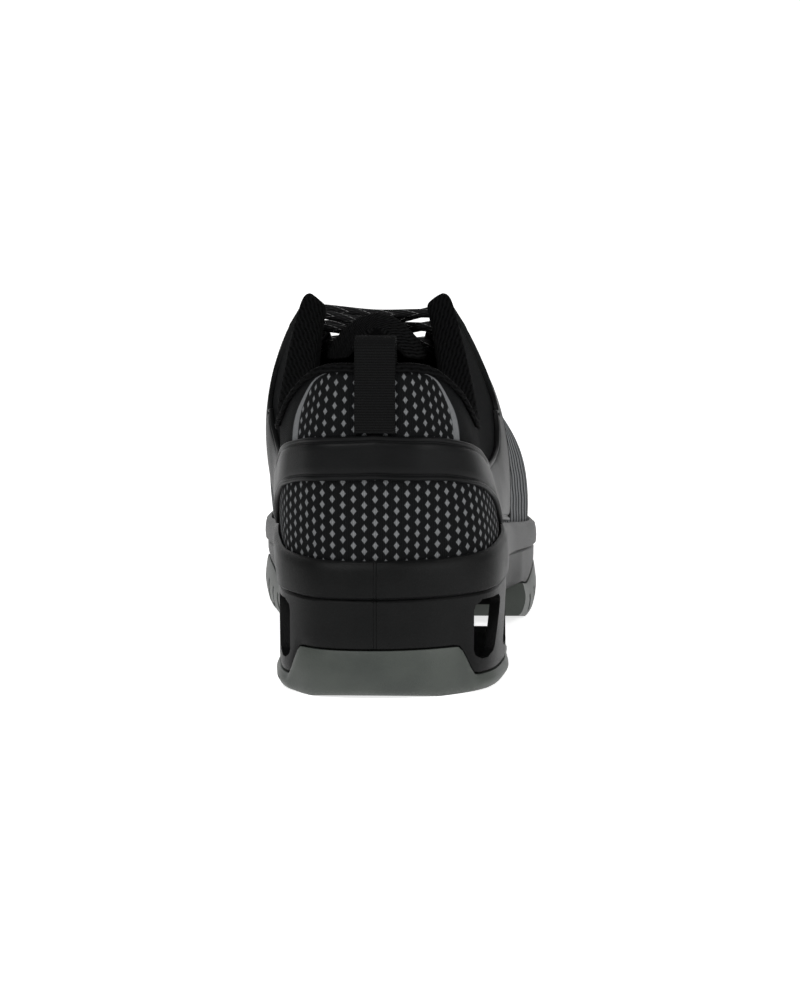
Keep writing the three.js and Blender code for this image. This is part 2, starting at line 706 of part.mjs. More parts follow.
function makeHeelOutsole() {
  const numbers = roundHeel(0.5).filter((i) => stations[i].along <= HEEL_PLATE_END);
  return cut(stackLoops(outsoleLoops(numbers), numbers.length - 1), treadGrooves(HEEL_GROOVES));
}

function makeForefootOutsole() {
  const numbers = roundToe(FOREFOOT_START);
  const solid = stackLoops(outsoleLoops(numbers), numbers.length - 1);
  return cut(solid, [...treadGrooves(FOREFOOT_GROOVES), ...sideGrooves()]);
}

// Midsole: a cup with a rim round the upper, a crease step, and a cage under the heel. Its
// side stands a little inside the outline and steps in at its foot.
function midsoleSection(station, number) {
  const { along } = station;
  const inArch = along > HEEL_PLATE_END && along < FOREFOOT_START;
  const archShare = (along - HEEL_PLATE_END) / (FOREFOOT_START - HEEL_PLATE_END);
  const tuck = inArch ? ARCH_TUCK * Math.sin(Math.PI * archShare) : 0;
  const floor = inArch ? OUTSOLE_HEIGHT + GAP : outsoleTop(station) + GAP;
  const crease = creaseHeight(along);
  const footLimit = crease - 2 * CREASE_HALF_HEIGHT - GAP;
  const rimShare = shareAtHeight(number, rimHeight(along));
  const rimOuter = onUpper(number, rimShare, GAP + RIM_WALL);
  const shoulder = plan(station, SIDE_INSET - CREASE_STEP, crease + CREASE_HALF_HEIGHT);
  const middle = shoulder.clone().lerp(rimOuter, 0.5);
  middle.x += station.outward.x * RIM_SWELL;
  middle.y += station.outward.y * RIM_SWELL;
  rimOuter.z -= RIM_BEVEL;
  return [
    plan(station, 1.5 * SIDE_INSET + tuck, floor),
    plan(station, SIDE_INSET + 0.8 * tuck, Math.min(floor + SIDE_FOOT_HEIGHT, footLimit)),
    plan(station, SIDE_INSET + 0.3 * tuck, crease - CREASE_HALF_HEIGHT),
    shoulder,
    middle,
    rimOuter,
    onUpper(number, rimShare, GAP),
    onUpper(number, rimShare * 2 / 3, GAP),
    onUpper(number, rimShare / 3, GAP),
    plan(station, FEATHER_INSET - GAP, bedHeight(along)),
  ];
}

function makeMidsole() {
  const rows = stations.map(midsoleSection);
  const loops = rows[0].map((point, k) => rows.map((row) => row[k]));
  return cut(stackLoops(loops, stations.length), [...heelChannels(), ...heelWindows()]);
}

function prism(points, bottom, height) {
  const shape = new THREE.Shape(points);
  const solid = new THREE.ExtrudeGeometry(shape, { depth: height, bevelEnabled: false });
  return solid.translate(0, 0, bottom);
}

// Two channels run along the heel between its core and its side walls, open to the arch.
function heelChannels() {
  return [-1, 1].map((side) => {
    const outer = stations.filter((station) => station.side === side
      && station.along > CHANNEL_START && station.along < HEEL_PLATE_END);
    if (side < 0) outer.reverse();
    const outerPoints = outer.map((station) => {
      const at = plan(station, CAGE_WALL, 0);
      return new THREE.Vector2(at.x, at.y);
    });
    const coreX = (along) => ridgeX(along) + side * CAGE_CORE_WIDTH / 2;
    const points = [
      new THREE.Vector2(coreX(CHANNEL_START), outerPoints[0].y),
      ...outerPoints,
      new THREE.Vector2(outerPoints.at(-1).x, alongToY(CHANNEL_END)),
      new THREE.Vector2(coreX(CHANNEL_END), alongToY(CHANNEL_END)),
    ];
    return prism(points, WINDOW_BOTTOM, WINDOW_HEIGHT);
  });
}

// Windows through the side walls of the heel, with slanted struts between them.
function heelWindows() {
  const steps = 3;
  const cutters = [];
  for (const side of [-1, 1]) {
    for (const hole of HEEL_WINDOWS) {
      const loop = (rear, front, z) => {
        const outer = [];
        const inner = [];
        for (let k = 0; k <= steps; k += 1) {
          const station = makeStation(side, lerp(rear, front, k / steps));
          outer.push(plan(station, -CAGE_WALL, z));
          inner.unshift(plan(station, 2 * CAGE_WALL, z));
        }
        const points = [...outer, ...inner];
        return side > 0 ? points : points.reverse();
      };
      const low = loop(hole.rearLow, hole.frontLow, WINDOW_BOTTOM);
      const high = loop(hole.rearHigh, hole.frontHigh, WINDOW_BOTTOM + WINDOW_HEIGHT);
      cutters.push(stackLoops([low, high], low.length - 1));
    }
  }
  return cutters;
}

function makeInsole() {
  const inset = FEATHER_INSET + UPPER_WALL + INSOLE_GAP;
  const loop = (lift) => stations.map((station) => plan(station, inset, bedHeight(station.along) + lift));
  return stackLoops([loop(GAP), loop(GAP + INSOLE_THICKNESS)], stations.length);
}

// Moulded frame: band round the heel, arm up each side and eyestay, as one layer that is
// cut from the upper's own surface by a thicker block with the frame's edges.
function makeFrame() {
  const numbers = roundHeel(FRAME_END_RUN);
  const wholeLayer = (lift) => numbers.map((i) => layer(lift)[i]);
  const sheet = wallBetween(wholeLayer(GAP + FRAME_THICKNESS), wholeLayer(GAP), false);
  const block = (lift) => numbers.slice(0, -1).map((i) => {
    const middle = i + 0.5;
    const ahead = stations[(i + 1) % stations.length];
    const run = (stations[i].run + ahead.run) / 2;
    const along = (stations[i].along + ahead.along) / 2;
    const low = column(FRAME_EDGES, 'run', 'low', run) * COLLAR_HEIGHT;
    const high = column(FRAME_EDGES, 'run', 'high', run) * COLLAR_HEIGHT;
    const lowShare = shareAtHeight(middle, Math.max(low, rimHeight(along) + 2 * GAP));
    const highShare = shareAtHeight(middle, high);
    const points = [];
    for (let k = 0; k <= FRAME_ROWS; k += 1) {
      points.push(onUpper(middle, lerp(lowShare, highShare, k / FRAME_ROWS), lift));
    }
    if (highShare === 1 && run < THROAT_END_RUN) {
      const up = onUpper(middle, 1, 0).sub(onUpper(middle, 1 - 1 / ROWS, 0)).normalize();
      points[FRAME_ROWS].addScaledVector(up, FRAME_THICKNESS);
    }
    return points;
  });
  const reach = 3 * FRAME_THICKNESS;
  const cutter = wallBetween(block(reach), block(-reach), false);
  const frame = toManifold(sheet).intersect(toManifold(cutter));
  return cut(fromManifold(frame), eyeletPunches());
}

// Padded collar inside the upper, with a roll that laps over the top edge.
function makeCollarPad() {
  const numbers = roundHeel(PAD_END_RUN);
  const sections = numbers.map((i) => {
    const thick = column(PAD_SHAPE, 'run', 'thick', stations[i].run) * PAD_THICKNESS;
    const back = -(UPPER_WALL + PAD_GAP);
    const up = ribs[i][ROWS].clone().sub(ribs[i][ROWS - 1]).normalize();
    const above = (rise, lift) => onUpper(i, 1, lift).addScaledVector(up, rise);
    const wallSide = [];
    for (let row = ROWS - PAD_ROWS; row < ROWS; row += 1) wallSide.push(onUpper(i, row / ROWS, back));
    const low = 1 - PAD_ROWS / ROWS;
    return [
      ...wallSide,
      above(2 * PAD_GAP, back),
      above(2 * PAD_GAP, -PAD_GAP),
      above(PAD_CREST * PAD_ROLL, -PAD_GAP),
      ...PAD_SECTION.map(({ rise, depth }) => above(rise * PAD_ROLL, back - depth * thick)),
      onUpper(i, lerp(low, 1, 0.5), back - PAD_BELLY * thick),
      onUpper(i, low, back - PAD_FOOT * thick),
    ].reverse();
  });
  return stackLoops(sections, sections[0].length - 1);
}

function tonguePoint(along, across, depth) {
  const value = (name) => column(TONGUE, 'along', name, along);
  const x = ridgeX(along) + across * value('half') * THROAT_WIDTH;
  const z = (value('top') - value('drop') * across * across) * INSTEP_HEIGHT;
  const edge = 1 - TONGUE_EDGE_THINNING * across ** 4;
  return new THREE.Vector3(x, alongToY(along), z - depth * value('thick') * TONGUE_THICKNESS * edge);
}

function makeTongue() {
  const grid = (depth) => {
    const lines = [];
    for (let k = 0; k <= TONGUE_STEPS; k += 1) {
      const along = lerp(TONGUE[0].along, TONGUE.at(-1).along, k / TONGUE_STEPS);
      const line = [];
      for (let c = 0; c <= TONGUE_COLUMNS; c += 1) {
        line.push(tonguePoint(along, 1 - 2 * c / TONGUE_COLUMNS, depth));
      }
      lines.push(line);
    }
    return lines;
  };
  return wallBetween(grid(0), grid(1), false);
}

// Eyelet places: on the rib of the row, a fixed distance from the throat edge.
function eyelet(side, run, fromEdge) {
  const station = makeStation(side, run);
  const samples = 60;
  let share = 1;
  let travelled = 0;
  while (travelled < fromEdge) {
    const next = share - 1 / samples;
    travelled += ribPoint(station, share).distanceTo(ribPoint(station, next));
    share = next;
  }
  const at = ribPoint(station, share);
  const alongRib = ribPoint(station, share - 0.02).sub(at);
  const alongShoe = ribPoint(makeStation(side, run + 0.01), share).sub(at);
  const normal = alongRib.cross(alongShoe).multiplyScalar(side).normalize();
  if (normal.z < 0) normal.negate();
  return { at, normal };
}

function eyeletPunches() {
  const punches = [];
  for (const side of [-1, 1]) {
    for (const run of EYELET_RUNS) {
      const { at, normal } = eyelet(side, run, EYELET_EDGE_DISTANCE);
      const punch = new THREE.CylinderGeometry(EYELET_DIAMETER / 2, EYELET_DIAMETER / 2, PUNCH_LENGTH, 8);
      punch.applyQuaternion(new THREE.Quaternion().setFromUnitVectors(new THREE.Vector3(0, 1, 0), normal));
      punches.push(punch.translate(at.x, at.y, at.z));
    }
  }
  return punches;
}

function tube(points, diameter, steps) {
  const section = new THREE.Shape();
  for (let k = 0; k < LACE_SIDES; k += 1) {
    const angle = 2 * Math.PI * k / LACE_SIDES;
    const x = Math.cos(angle) * diameter / 2;
    const y = Math.sin(angle) * diameter / 2;
    if (k === 0) section.moveTo(x, y);
    else section.lineTo(x, y);
  }
  section.closePath();
  const path = new THREE.CatmullRomCurve3(points);
  return new THREE.ExtrudeGeometry(section, { steps, extrudePath: path, bevelEnabled: false });
}

// Lace: a bar over the lowest row and a crossing between each row and the next.
function laceRun(rowFrom, rowTo, side) {
  const lift = FRAME_THICKNESS + LACE_LIFT + LACE_DIAMETER / 2;
  const half = LACE_SPREAD / 2;
  const places = [[side, EYELET_RUNS[rowFrom] + half], [-side, EYELET_RUNS[rowTo] - half]];
  const ends = places.map(([place, run]) => {
    const inner = eyelet(place, run, EYELET_EDGE_DISTANCE);
    const lip = eyelet(place, run, FRAME_THICKNESS / 2);
    return [
      inner.at.addScaledVector(inner.normal, lift),
      lip.at.addScaledVector(lip.normal, lift + GAP),
    ];
  });
  const middle = ends[0][1].clone().lerp(ends[1][1], 0.5);
  middle.z -= LACE_SAG * ends[0][1].distanceTo(ends[1][1]);
  return tube([ends[0][0], ends[0][1], middle, ends[1][1], ends[1][0]], LACE_DIAMETER, LACE_STEPS);
}

function makeLace() {
  const last = EYELET_RUNS.length - 1;
  const runs = [laceRun(last, last, 1)];
  for (let row = 0; row < last; row += 1) {
    runs.push(laceRun(row, row + 1, 1), laceRun(row, row + 1, -1));
  }
  return join(runs);
}

// Pull loop: a webbing strap that stands behind the collar, folds over and goes inside.
function makePullLoop() {
  const bandTop = FRAME_EDGES[0].high * COLLAR_HEIGHT;
  const off = GAP + LOOP_THICKNESS / 2;
  const outerY = ribs[0][ROWS].y - off - GAP;
  const innerY = ribs[0][ROWS].y + UPPER_WALL + PAD_SHAPE[0].thick * PAD_THICKNESS + 2 * GAP + off;
  const top = COLLAR_HEIGHT + LOOP_HEIGHT - LOOP_THICKNESS / 2;
  const middleX = ribs[0][ROWS].x;
  const route = new THREE.CatmullRomCurve3([
    onUpper(0, shareAtHeight(0, bandTop + 2 * GAP), off),
    onUpper(0, shareAtHeight(0, (bandTop + COLLAR_HEIGHT) / 2), off + GAP),
    new THREE.Vector3(middleX, outerY, COLLAR_HEIGHT),
    ...LOOP_ARCH.map(({ height, depth }) => new THREE.Vector3(
      middleX,
      lerp(outerY, innerY, depth),
      lerp(COLLAR_HEIGHT, top, height),
    )),
  ]);
  const grid = (lift) => {
    const lines = [];
    for (let k = 0; k <= LOOP_STEPS; k += 1) {
      const at = route.getPoint(k / LOOP_STEPS);
      const tangent = route.getTangent(k / LOOP_STEPS);
      at.y -= tangent.z * lift;
      at.z += tangent.y * lift;
      lines.push([0.5, -0.5].map((share) => at.clone().setX(at.x + share * LOOP_WIDTH)));
    }
    return lines;
  };
  return wallBetween(grid(LOOP_THICKNESS / 2), grid(-LOOP_THICKNESS / 2), false);
}

const materials = {
  rubber: { color: 0x4a4f4a, roughness: 0.62, metalness: 0 },
  foam: { color: 0x141515, roughness: 0.55, metalness: 0 },
  moulded: { color: 0x161717, roughness: 0.45, metalness: 0 },
  knit: { color: 0x2a2b2c, roughness: 0.9, metalness: 0 },
  lining: { color: 0x121313, roughness: 0.95, metalness: 0 },
  webbing: { color: 0x1c1d1d, roughness: 0.9, metalness: 0 },
};

const shoe = new THREE.Group();

function addPiece(name, geometry, material) {
  const mesh = new THREE.Mesh(geometry, new THREE.MeshStandardMaterial(materials[material]));
  mesh.name = name;
  shoe.add(mesh);
}

addPiece('outsole_heel', makeHeelOutsole(), 'rubber');
addPiece('outsole_forefoot', makeForefootOutsole(), 'rubber');
addPiece('midsole', makeMidsole(), 'foam');
addPiece('insole', makeInsole(), 'lining');
addPiece('upper', makeUpper(), 'knit');
addPiece('side_frame', makeFrame(), 'moulded');
addPiece('collar_pad', makeCollarPad(), 'lining');
addPiece('tongue', makeTongue(), 'lining');
addPiece('lace', makeLace(), 'webbing');
addPiece('pull_loop', makePullLoop(), 'webbing');

// The origin is the middle of the underside of the whole shoe.
const box = new THREE.Box3().setFromObject(shoe);
const centre = box.getCenter(new THREE.Vector3());
shoe.position.set(-centre.x, -centre.y, -box.min.z);
shoe.updateMatrixWorld(true);

export default shoe;
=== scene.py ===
"""A right safety shoe of low cut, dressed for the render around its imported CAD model."""

import math

import bmesh
import bpy
import numpy as np
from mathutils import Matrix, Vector


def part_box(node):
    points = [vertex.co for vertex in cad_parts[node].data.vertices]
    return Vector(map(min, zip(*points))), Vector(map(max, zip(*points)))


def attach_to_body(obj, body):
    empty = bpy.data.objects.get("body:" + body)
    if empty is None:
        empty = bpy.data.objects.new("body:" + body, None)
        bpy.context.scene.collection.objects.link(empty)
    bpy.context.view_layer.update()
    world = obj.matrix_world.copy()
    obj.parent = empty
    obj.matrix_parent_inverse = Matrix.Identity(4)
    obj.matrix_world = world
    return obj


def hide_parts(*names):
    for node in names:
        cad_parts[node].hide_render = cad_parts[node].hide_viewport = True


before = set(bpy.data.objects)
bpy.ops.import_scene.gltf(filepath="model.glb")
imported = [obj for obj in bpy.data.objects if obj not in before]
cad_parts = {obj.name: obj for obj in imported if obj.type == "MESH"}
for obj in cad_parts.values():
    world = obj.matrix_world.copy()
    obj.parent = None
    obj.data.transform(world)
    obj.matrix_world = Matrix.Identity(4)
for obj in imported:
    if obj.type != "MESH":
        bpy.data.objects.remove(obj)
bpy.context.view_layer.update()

# Sizes in millimetres, as in the CAD model
SHOE_LENGTH = 300
BALL_WIDTH = 114
COLLAR_HEIGHT = 113
INSTEP_HEIGHT = 132.8
COLLAR_WIDTH = 71
THROAT_WIDTH = 53
TOE_BOX_HEIGHT = 69
HEEL_BED_HEIGHT = 37
HEEL_RIM_HEIGHT = 49
TOE_SPRING = 12
OUTSOLE_HEIGHT = 17
HEEL_TREAD_THICKNESS = 6
UPPER_WALL = 2.2
RIM_WALL = 2
FEATHER_INSET = 4.5
FRAME_THICKNESS = 1.5
PAD_THICKNESS = 10
PAD_ROLL = 3
INSOLE_THICKNESS = 4
TONGUE_THICKNESS = 8
TONGUE_EDGE_THINNING = 0.35
GAP = 0.3
PAD_GAP = 0.5
CAGE_WALL = 4.5
CAGE_CORE_WIDTH = 46
WINDOW_BOTTOM = 11.5
WINDOW_HEIGHT = 21
LACE_DIAMETER = 3.4
LACE_SPREAD = 0.007
EYELET_DIAMETER = 4.6
EYELET_EDGE_DISTANCE = 8
LIP_DISTANCE = 0.75
LOOP_WIDTH = 14
LOOP_THICKNESS = 1.6
LOOP_HEIGHT = 11.8

# Plan outline of the sole from the heel along the outer side to the toe and back:
# along in shares of the length, across in shares of the ball width.
OUTLINE = [
    (0, -0.013), (0.0205, 0.189), (0.067, 0.33), (0.14, 0.383), (0.25, 0.384), (0.383, 0.408),
    (0.5, 0.456), (0.627, 0.499), (0.74, 0.474), (0.83, 0.43), (0.9, 0.36), (0.955, 0.25),
    (0.987, 0.11), (1, -0.065), (0.992, -0.183), (0.97, -0.282), (0.93, -0.372), (0.87, -0.445),
    (0.8, -0.484), (0.72, -0.503), (0.66, -0.492), (0.567, -0.443), (0.467, -0.378),
    (0.36, -0.347), (0.24, -0.338), (0.135, -0.337), (0.06, -0.3), (0.0125, -0.198),
]
TOE_NUMBER = 13

RIDGE = {
    "along": [0, 0.22, 0.35, 0.6, 0.85, 1],
    "across": [-0.014, -0.03, -0.048, -0.06, -0.066, -0.065],
}
SOLE = {
    "along": [0, 0.06, 0.2, 0.4, 0.6, 0.75, 0.85, 0.93, 1],
    "bed": [1, 1, 1, 0.86, 0.65, 0.6, 0.64, 0.7, 0.78],
    "rim": [0.98, 1.0, 1.07, 0.93, 0.78, 0.74, 0.78, 0.88, 1.0],
    "crease": [0.71, 0.72, 0.77, 0.68, 0.57, 0.54, 0.58, 0.66, 0.76],
    "spring": [0, 0, 0, 0, 0, 0, 0.12, 0.45, 1],
}
WAVE = {
    "along": [0.49, 0.54, 0.6, 0.66, 0.73, 0.79, 0.86, 0.93, 1],
    "top": [1.02, 0.88, 1.08, 1.2, 1.02, 0.96, 1.1, 1.2, 1.45],
}
FOREFOOT_START = 0.49
HEEL_PLATE_END = 0.275

TOP_LINE = {
    "run": [0, 0.05, 0.09, 0.14, 0.195, 0.265, 0.32, 0.36, 0.395, 0.43, 0.48, 0.53, 0.58, 0.615, 0.64],
    "along": [0.027, 0.031, 0.042, 0.08, 0.143, 0.22, 0.28, 0.32, 0.35, 0.387, 0.443, 0.5, 0.557,
              0.6, 0.627],
    "collar": [0, 0.2, 0.29, 0.4, 0.475, 0.5, 0.48, 0.22, 0, 0, 0, 0, 0, 0, 0],
    "throat": [0, 0, 0, 0, 0, 0, 0, 0.285, 0.5, 0.44, 0.38, 0.33, 0.27, 0.17, 0],
    "heel": [1, 1, 0.985, 0.917, 0.824, 0.788, 0.492, 0.2, 0, 0, 0, 0, 0, 0, 0],
    "instep": [0, 0, 0, 0, 0, 0, 0.332, 0.705, 0.992, 0.977, 0.915, 0.846, 0.781, 0.735, 0.7115],
    "lean": [12, 12, 12, 13, 14, 16, 27, 36, 41, 47, 53, 60, 68, 78, 90],
}
THROAT_END_RUN = 0.64
VAMP = {
    "run": [0.64, 0.7, 0.78, 0.87, 0.94, 1],
    "along": [0.627, 0.687, 0.763, 0.833, 0.88, 0.905],
    "drop": [0, 0.27, 0.57, 0.79, 0.92, 1],
}
RIB = {
    "run": [0, 0.1, 0.2, 0.3, 0.39, 0.48, 0.56, 0.7, 0.85, 1],
    "rise": [0.33, 0.33, 0.36, 0.36, 0.36, 0.4, 0.44, 0.48, 0.5, 0.55],
    "reach": [0.33, 0.33, 0.35, 0.38, 0.4, 0.46, 0.52, 0.58, 0.58, 0.6],
    "outer": [0.02, 0.03, 0.08, 0.1, 0.06, 0.05, 0.05, 0.045, 0.04, 0.03],
    "inner": [0.02, 0.035, 0.13, 0.2, 0.17, 0.12, 0.09, 0.045, 0.04, 0.03],
    "outer_top": [0, 0, -0.02, -0.06, -0.06, -0.03, 0, 0, 0, 0],
    "inner_top": [0, 0.01, 0.04, 0.1, 0.1, 0.07, 0.03, 0, 0, 0],
}
FRAME_EDGES = {
    "run": [0, 0.1, 0.16, 0.21, 0.245, 0.275, 0.3, 0.33, 0.36, 0.385, 0.4, 0.41,
            0.425, 0.45, 0.48, 0.53, 0.58, 0.62, 0.69],
    "low": [0.674, 0.654, 0.609, 0.54, 0.451, 0.3, 0.15, 0.1, 0.1, 0.33, 0.55, 0.68,
            0.82, 0.88, 0.867, 0.808, 0.748, 0.719, 0.719],
    "high": [0.808, 0.786, 0.742, 0.684, 0.66, 0.65, 0.652, 0.664, 0.705, 0.79, 0.9, 1.4,
             1.4, 1.4, 1.4, 1.4, 1.4, 1.4, 1.4],
}
FRAME_END_RUN = 0.68
PAD = {"run": [0, 0.15, 0.3, 0.36, 0.41], "thick": [0.9, 1, 0.95, 0.75, 0.55]}
PAD_END_RUN = 0.405
PAD_DEPTH_SHARE = 5 / 9
TONGUE = {
    "along": [0.322, 0.335, 0.36, 0.395, 0.443, 0.5, 0.557, 0.6, 0.627, 0.66],
    "top": [0.959, 0.964, 0.952, 0.918, 0.872, 0.816, 0.754, 0.71, 0.6825, 0.6585],
    "half": [0.34, 0.355, 0.36, 0.4, 0.44, 0.44, 0.43, 0.42, 0.4, 0.38],
    "drop": [0.12, 0.11, 0.09, 0.065, 0.055, 0.055, 0.055, 0.055, 0.05, 0.045],
    "thick": [0.8, 1, 1, 0.9, 0.8, 0.7, 0.6, 0.5, 0.45, 0.4],
}
EYELET_RUNS = [0.423, 0.461, 0.5, 0.539, 0.577]
HEEL_WINDOWS = [(0.105, 0.105, 0.14, 0.169), (0.18, 0.205, 0.225, 0.25)]
CHANNEL_START = 0.043
CHANNEL_END = 0.32


def smooth_at(keys, values, at):
    """Smooth curve through table values: cubic pieces whose slopes come from the neighbours."""
    keys, values = np.asarray(keys, float), np.asarray(values, float)
    last = len(keys) - 1
    place = np.clip(np.asarray(at, float), keys[0], keys[last])
    k = np.clip(np.searchsorted(keys, place, "left") - 1, 0, last - 1)
    steps, rises = np.diff(keys), np.diff(values) / np.diff(keys)
    slopes = np.empty(last + 1)
    slopes[0], slopes[last] = rises[0], rises[-1]
    slopes[1:last] = (rises[:-1] * steps[1:] + rises[1:] * steps[:-1]) / (steps[:-1] + steps[1:])
    t = (place - keys[k]) / steps[k]
    return ((2 * t**3 - 3 * t**2 + 1) * values[k] + (t**3 - 2 * t**2 + t) * steps[k] * slopes[k]
            + (3 * t**2 - 2 * t**3) * values[k + 1] + (t**3 - t**2) * steps[k] * slopes[k + 1])


def unit(vectors):
    """The vectors at a length of one."""
    return vectors / np.linalg.norm(vectors, axis=-1)[..., None]


def travelled(path):
    """Length along a path at each of its points."""
    return np.concatenate([[0], np.cumsum(np.linalg.norm(np.diff(path, axis=0), axis=1))])


def column(table, key, name, at):
    return smooth_at(table[key], table[name], at)


def along_to_y(along):
    return (along - 0.5) * SHOE_LENGTH


def y_to_along(y):
    return y / SHOE_LENGTH + 0.5


def ridge_x(along):
    return column(RIDGE, "along", "across", along) * BALL_WIDTH


def bed_height(along):
    return column(SOLE, "along", "bed", along) * HEEL_BED_HEIGHT


def rim_height(along):
    return column(SOLE, "along", "rim", along) * HEEL_RIM_HEIGHT


def crease_height(along):
    return column(SOLE, "along", "crease", along) * HEEL_RIM_HEIGHT


def spring_height(along):
    return np.maximum(column(SOLE, "along", "spring", along), 0) * TOE_SPRING


def outline_table():
    points = np.array([(across * BALL_WIDTH, along_to_y(along)) for along, across in OUTLINE])
    count = len(points)
    wrapped = points[[(i + count) % count for i in range(-2, count + 3)]]
    keys = np.concatenate([[0], np.cumsum(np.hypot(*np.diff(wrapped, axis=0).T))])
    return keys, wrapped[:, 0], wrapped[:, 1], keys[2], keys[2 + TOE_NUMBER], keys[2 + count]


OUTLINE_TABLE = outline_table()


def outline_point(side, run):
    keys, xs, ys, heel, toe, end = OUTLINE_TABLE
    run = np.clip(run, 0, 1)
    key = np.where(side > 0, heel + (toe - heel) * run, end + (toe - end) * run)
    return np.stack([smooth_at(keys, xs, key), smooth_at(keys, ys, key)], -1)


class Stations:
    """Places on the outline, each with its side, run, point, outward direction and share along."""

    def __init__(self, side, run):
        self.side, self.run = np.asarray(side, float), np.asarray(run, float)
        nudge = 0.001
        self.point = outline_point(self.side, self.run)
        ahead = outline_point(self.side, np.minimum(self.run + nudge, 1))
        behind = outline_point(self.side, np.maximum(self.run - nudge, 0))
        tangent = unit((ahead - behind) * self.side[:, None])
        self.outward = np.stack([tangent[:, 1], -tangent[:, 0]], -1)
        self.outward[self.run == 0] = (0, -1)
        self.outward[self.run == 1] = (0, 1)
        self.along = y_to_along(self.point[:, 1])

    def plan(self, inset, z):
        """Points at a distance inside the outline and at a height."""
        inset = np.broadcast_to(inset, self.run.shape)
        flat = self.point - self.outward * inset[:, None]
        return np.column_stack([flat, np.broadcast_to(z, self.run.shape)])


def top_line(stations):
    """Top edge of the upper at each station: its points, tilt from upright, and vamp slope."""
    side, run = stations.side, stations.run
    value = lambda name: column(TOP_LINE, "run", name, run)
    along = value("along")
    half = value("collar") * COLLAR_WIDTH + value("throat") * THROAT_WIDTH
    half = np.where(run == 0, 0, half)
    z = value("heel") * COLLAR_HEIGHT + value("instep") * INSTEP_HEIGHT
    at = np.column_stack([ridge_x(along) + side * half, along_to_y(along), z])
    tilt = np.radians(value("lean"))
    throat_height = TOP_LINE["instep"][-1] * INSTEP_HEIGHT
    fall = TOE_BOX_HEIGHT - throat_height
    vamp_height = lambda r: throat_height + fall * column(VAMP, "run", "drop", r)
    vamp_y = lambda r: along_to_y(column(VAMP, "run", "along", r))
    step = 0.01
    before = np.maximum(run - step, THROAT_END_RUN)
    after = np.clip(run + step, THROAT_END_RUN + step, 1)
    slope = (vamp_height(after) - vamp_height(before)) / (vamp_y(after) - vamp_y(before))
    y = vamp_y(run)
    vamp = np.column_stack([ridge_x(y_to_along(y)), y, vamp_height(run)])
    closed = run > THROAT_END_RUN
    return (np.where(closed[:, None], vamp, at), np.where(closed, math.pi / 2, tilt),
            np.where(closed, slope, 0))


def rib_points(stations, shares):
    """Points on the ribs of the upper. shares is a list for all stations or one row for each."""
    foot = stations.plan(FEATHER_INSET, bed_height(stations.along) + GAP)
    top, tilt, slope = top_line(stations)
    chord = np.linalg.norm(top - foot, axis=1)
    shape = lambda name: column(RIB, "run", name, stations.run)
    swell = np.where(stations.side > 0, shape("outer"), shape("inner")) * chord
    top_swell = np.where(stations.side > 0, shape("outer_top"), shape("inner_top")) * chord
    rise = np.column_stack([stations.outward * swell[:, None], shape("rise") * chord])
    out = unit(np.column_stack([foot[:, :2] - top[:, :2], np.zeros(len(chord))]))
    out[stations.run == 0] = (0, -1, 0)
    out[stations.run == 1] = (0, 1, 0)
    out[:, 2] = slope * out[:, 1]
    reach = out * np.sin(tilt)[:, None]
    reach[:, 2] -= np.cos(tilt)
    reach *= (shape("reach") * chord)[:, None]
    reach[:, :2] += stations.outward * top_swell[:, None]
    t = np.broadcast_to(shares, (len(chord), np.shape(shares)[-1]))[..., None]
    a, b, c, d = (p[:, None, :] for p in (foot, foot + rise, top + reach, top))
    return (1 - t)**3 * a + 3 * (1 - t)**2 * t * b + 3 * (1 - t) * t**2 * c + t**3 * d


def rib_normals(stations, shares):
    """Outward normals of the upper at the same places as rib_points."""
    nudge = 0.002
    shares = np.broadcast_to(shares, (len(stations.run), np.shape(shares)[-1]))
    above, below = np.minimum(shares + nudge, 1), np.maximum(shares - nudge, 0)
    up = rib_points(stations, above) - rib_points(stations, below)
    ahead = Stations(stations.side, np.minimum(stations.run + nudge, 1))
    behind = Stations(stations.side, np.maximum(stations.run - nudge, 0))
    at_heel = stations.run < nudge
    behind = Stations(np.where(at_heel, -stations.side, stations.side),
                      np.where(at_heel, nudge - stations.run, behind.run))
    forward = rib_points(ahead, shares) - rib_points(behind, shares)
    normal = unit(np.cross(forward, up) * stations.side[:, None, None])
    middle = (stations.run >= THROAT_END_RUN)[:, None] & (shares > 0.999)
    normal[..., 0] = np.where(middle, 0, normal[..., 0])
    at_toe = stations.run > 1 - 1e-9
    normal[at_toe, :, 0] = 0
    normal[stations.run < 1e-9, :, 0] = 0
    return unit(normal)


def on_upper(stations, shares, lift):
    shares = np.clip(shares, 0, 1)
    lift = np.broadcast_to(lift, (len(stations.run), np.shape(shares)[-1]))[..., None]
    return rib_points(stations, shares) + rib_normals(stations, shares) * lift


def share_at_height(stations, height):
    """The share of each rib at which it reaches a height, or 1 where the rib ends below it."""
    fine = np.linspace(0, 1, 61)
    z = rib_points(stations, fine)[..., 2]
    height = np.broadcast_to(height, stations.run.shape)
    rising = np.maximum.accumulate(z, axis=1) + fine * 1e-6
    return np.array([np.interp(h, row, fine) if h < top else 1.0
                     for row, top, h in zip(rising, z.max(axis=1), height)])


def around(count, crowding=0.05):
    """Stations all round the sole, closer together at the heel and the toe."""
    share = np.arange(count + 1) / count
    run = share - crowding * np.sin(2 * math.pi * share)
    run[0], run[-1] = 0, 1
    run[np.argmin(np.abs(run - THROAT_END_RUN))] = THROAT_END_RUN
    return Stations(np.r_[np.ones(count + 1), -np.ones(count - 1)], np.r_[run, run[-2:0:-1]])


def round_heel(end_run, count):
    """Stations from the inner side round the heel to the outer side."""
    run = np.linspace(0, end_run, count)
    return Stations(np.r_[-np.ones(count - 1), np.ones(count)], np.r_[run[:0:-1], run])


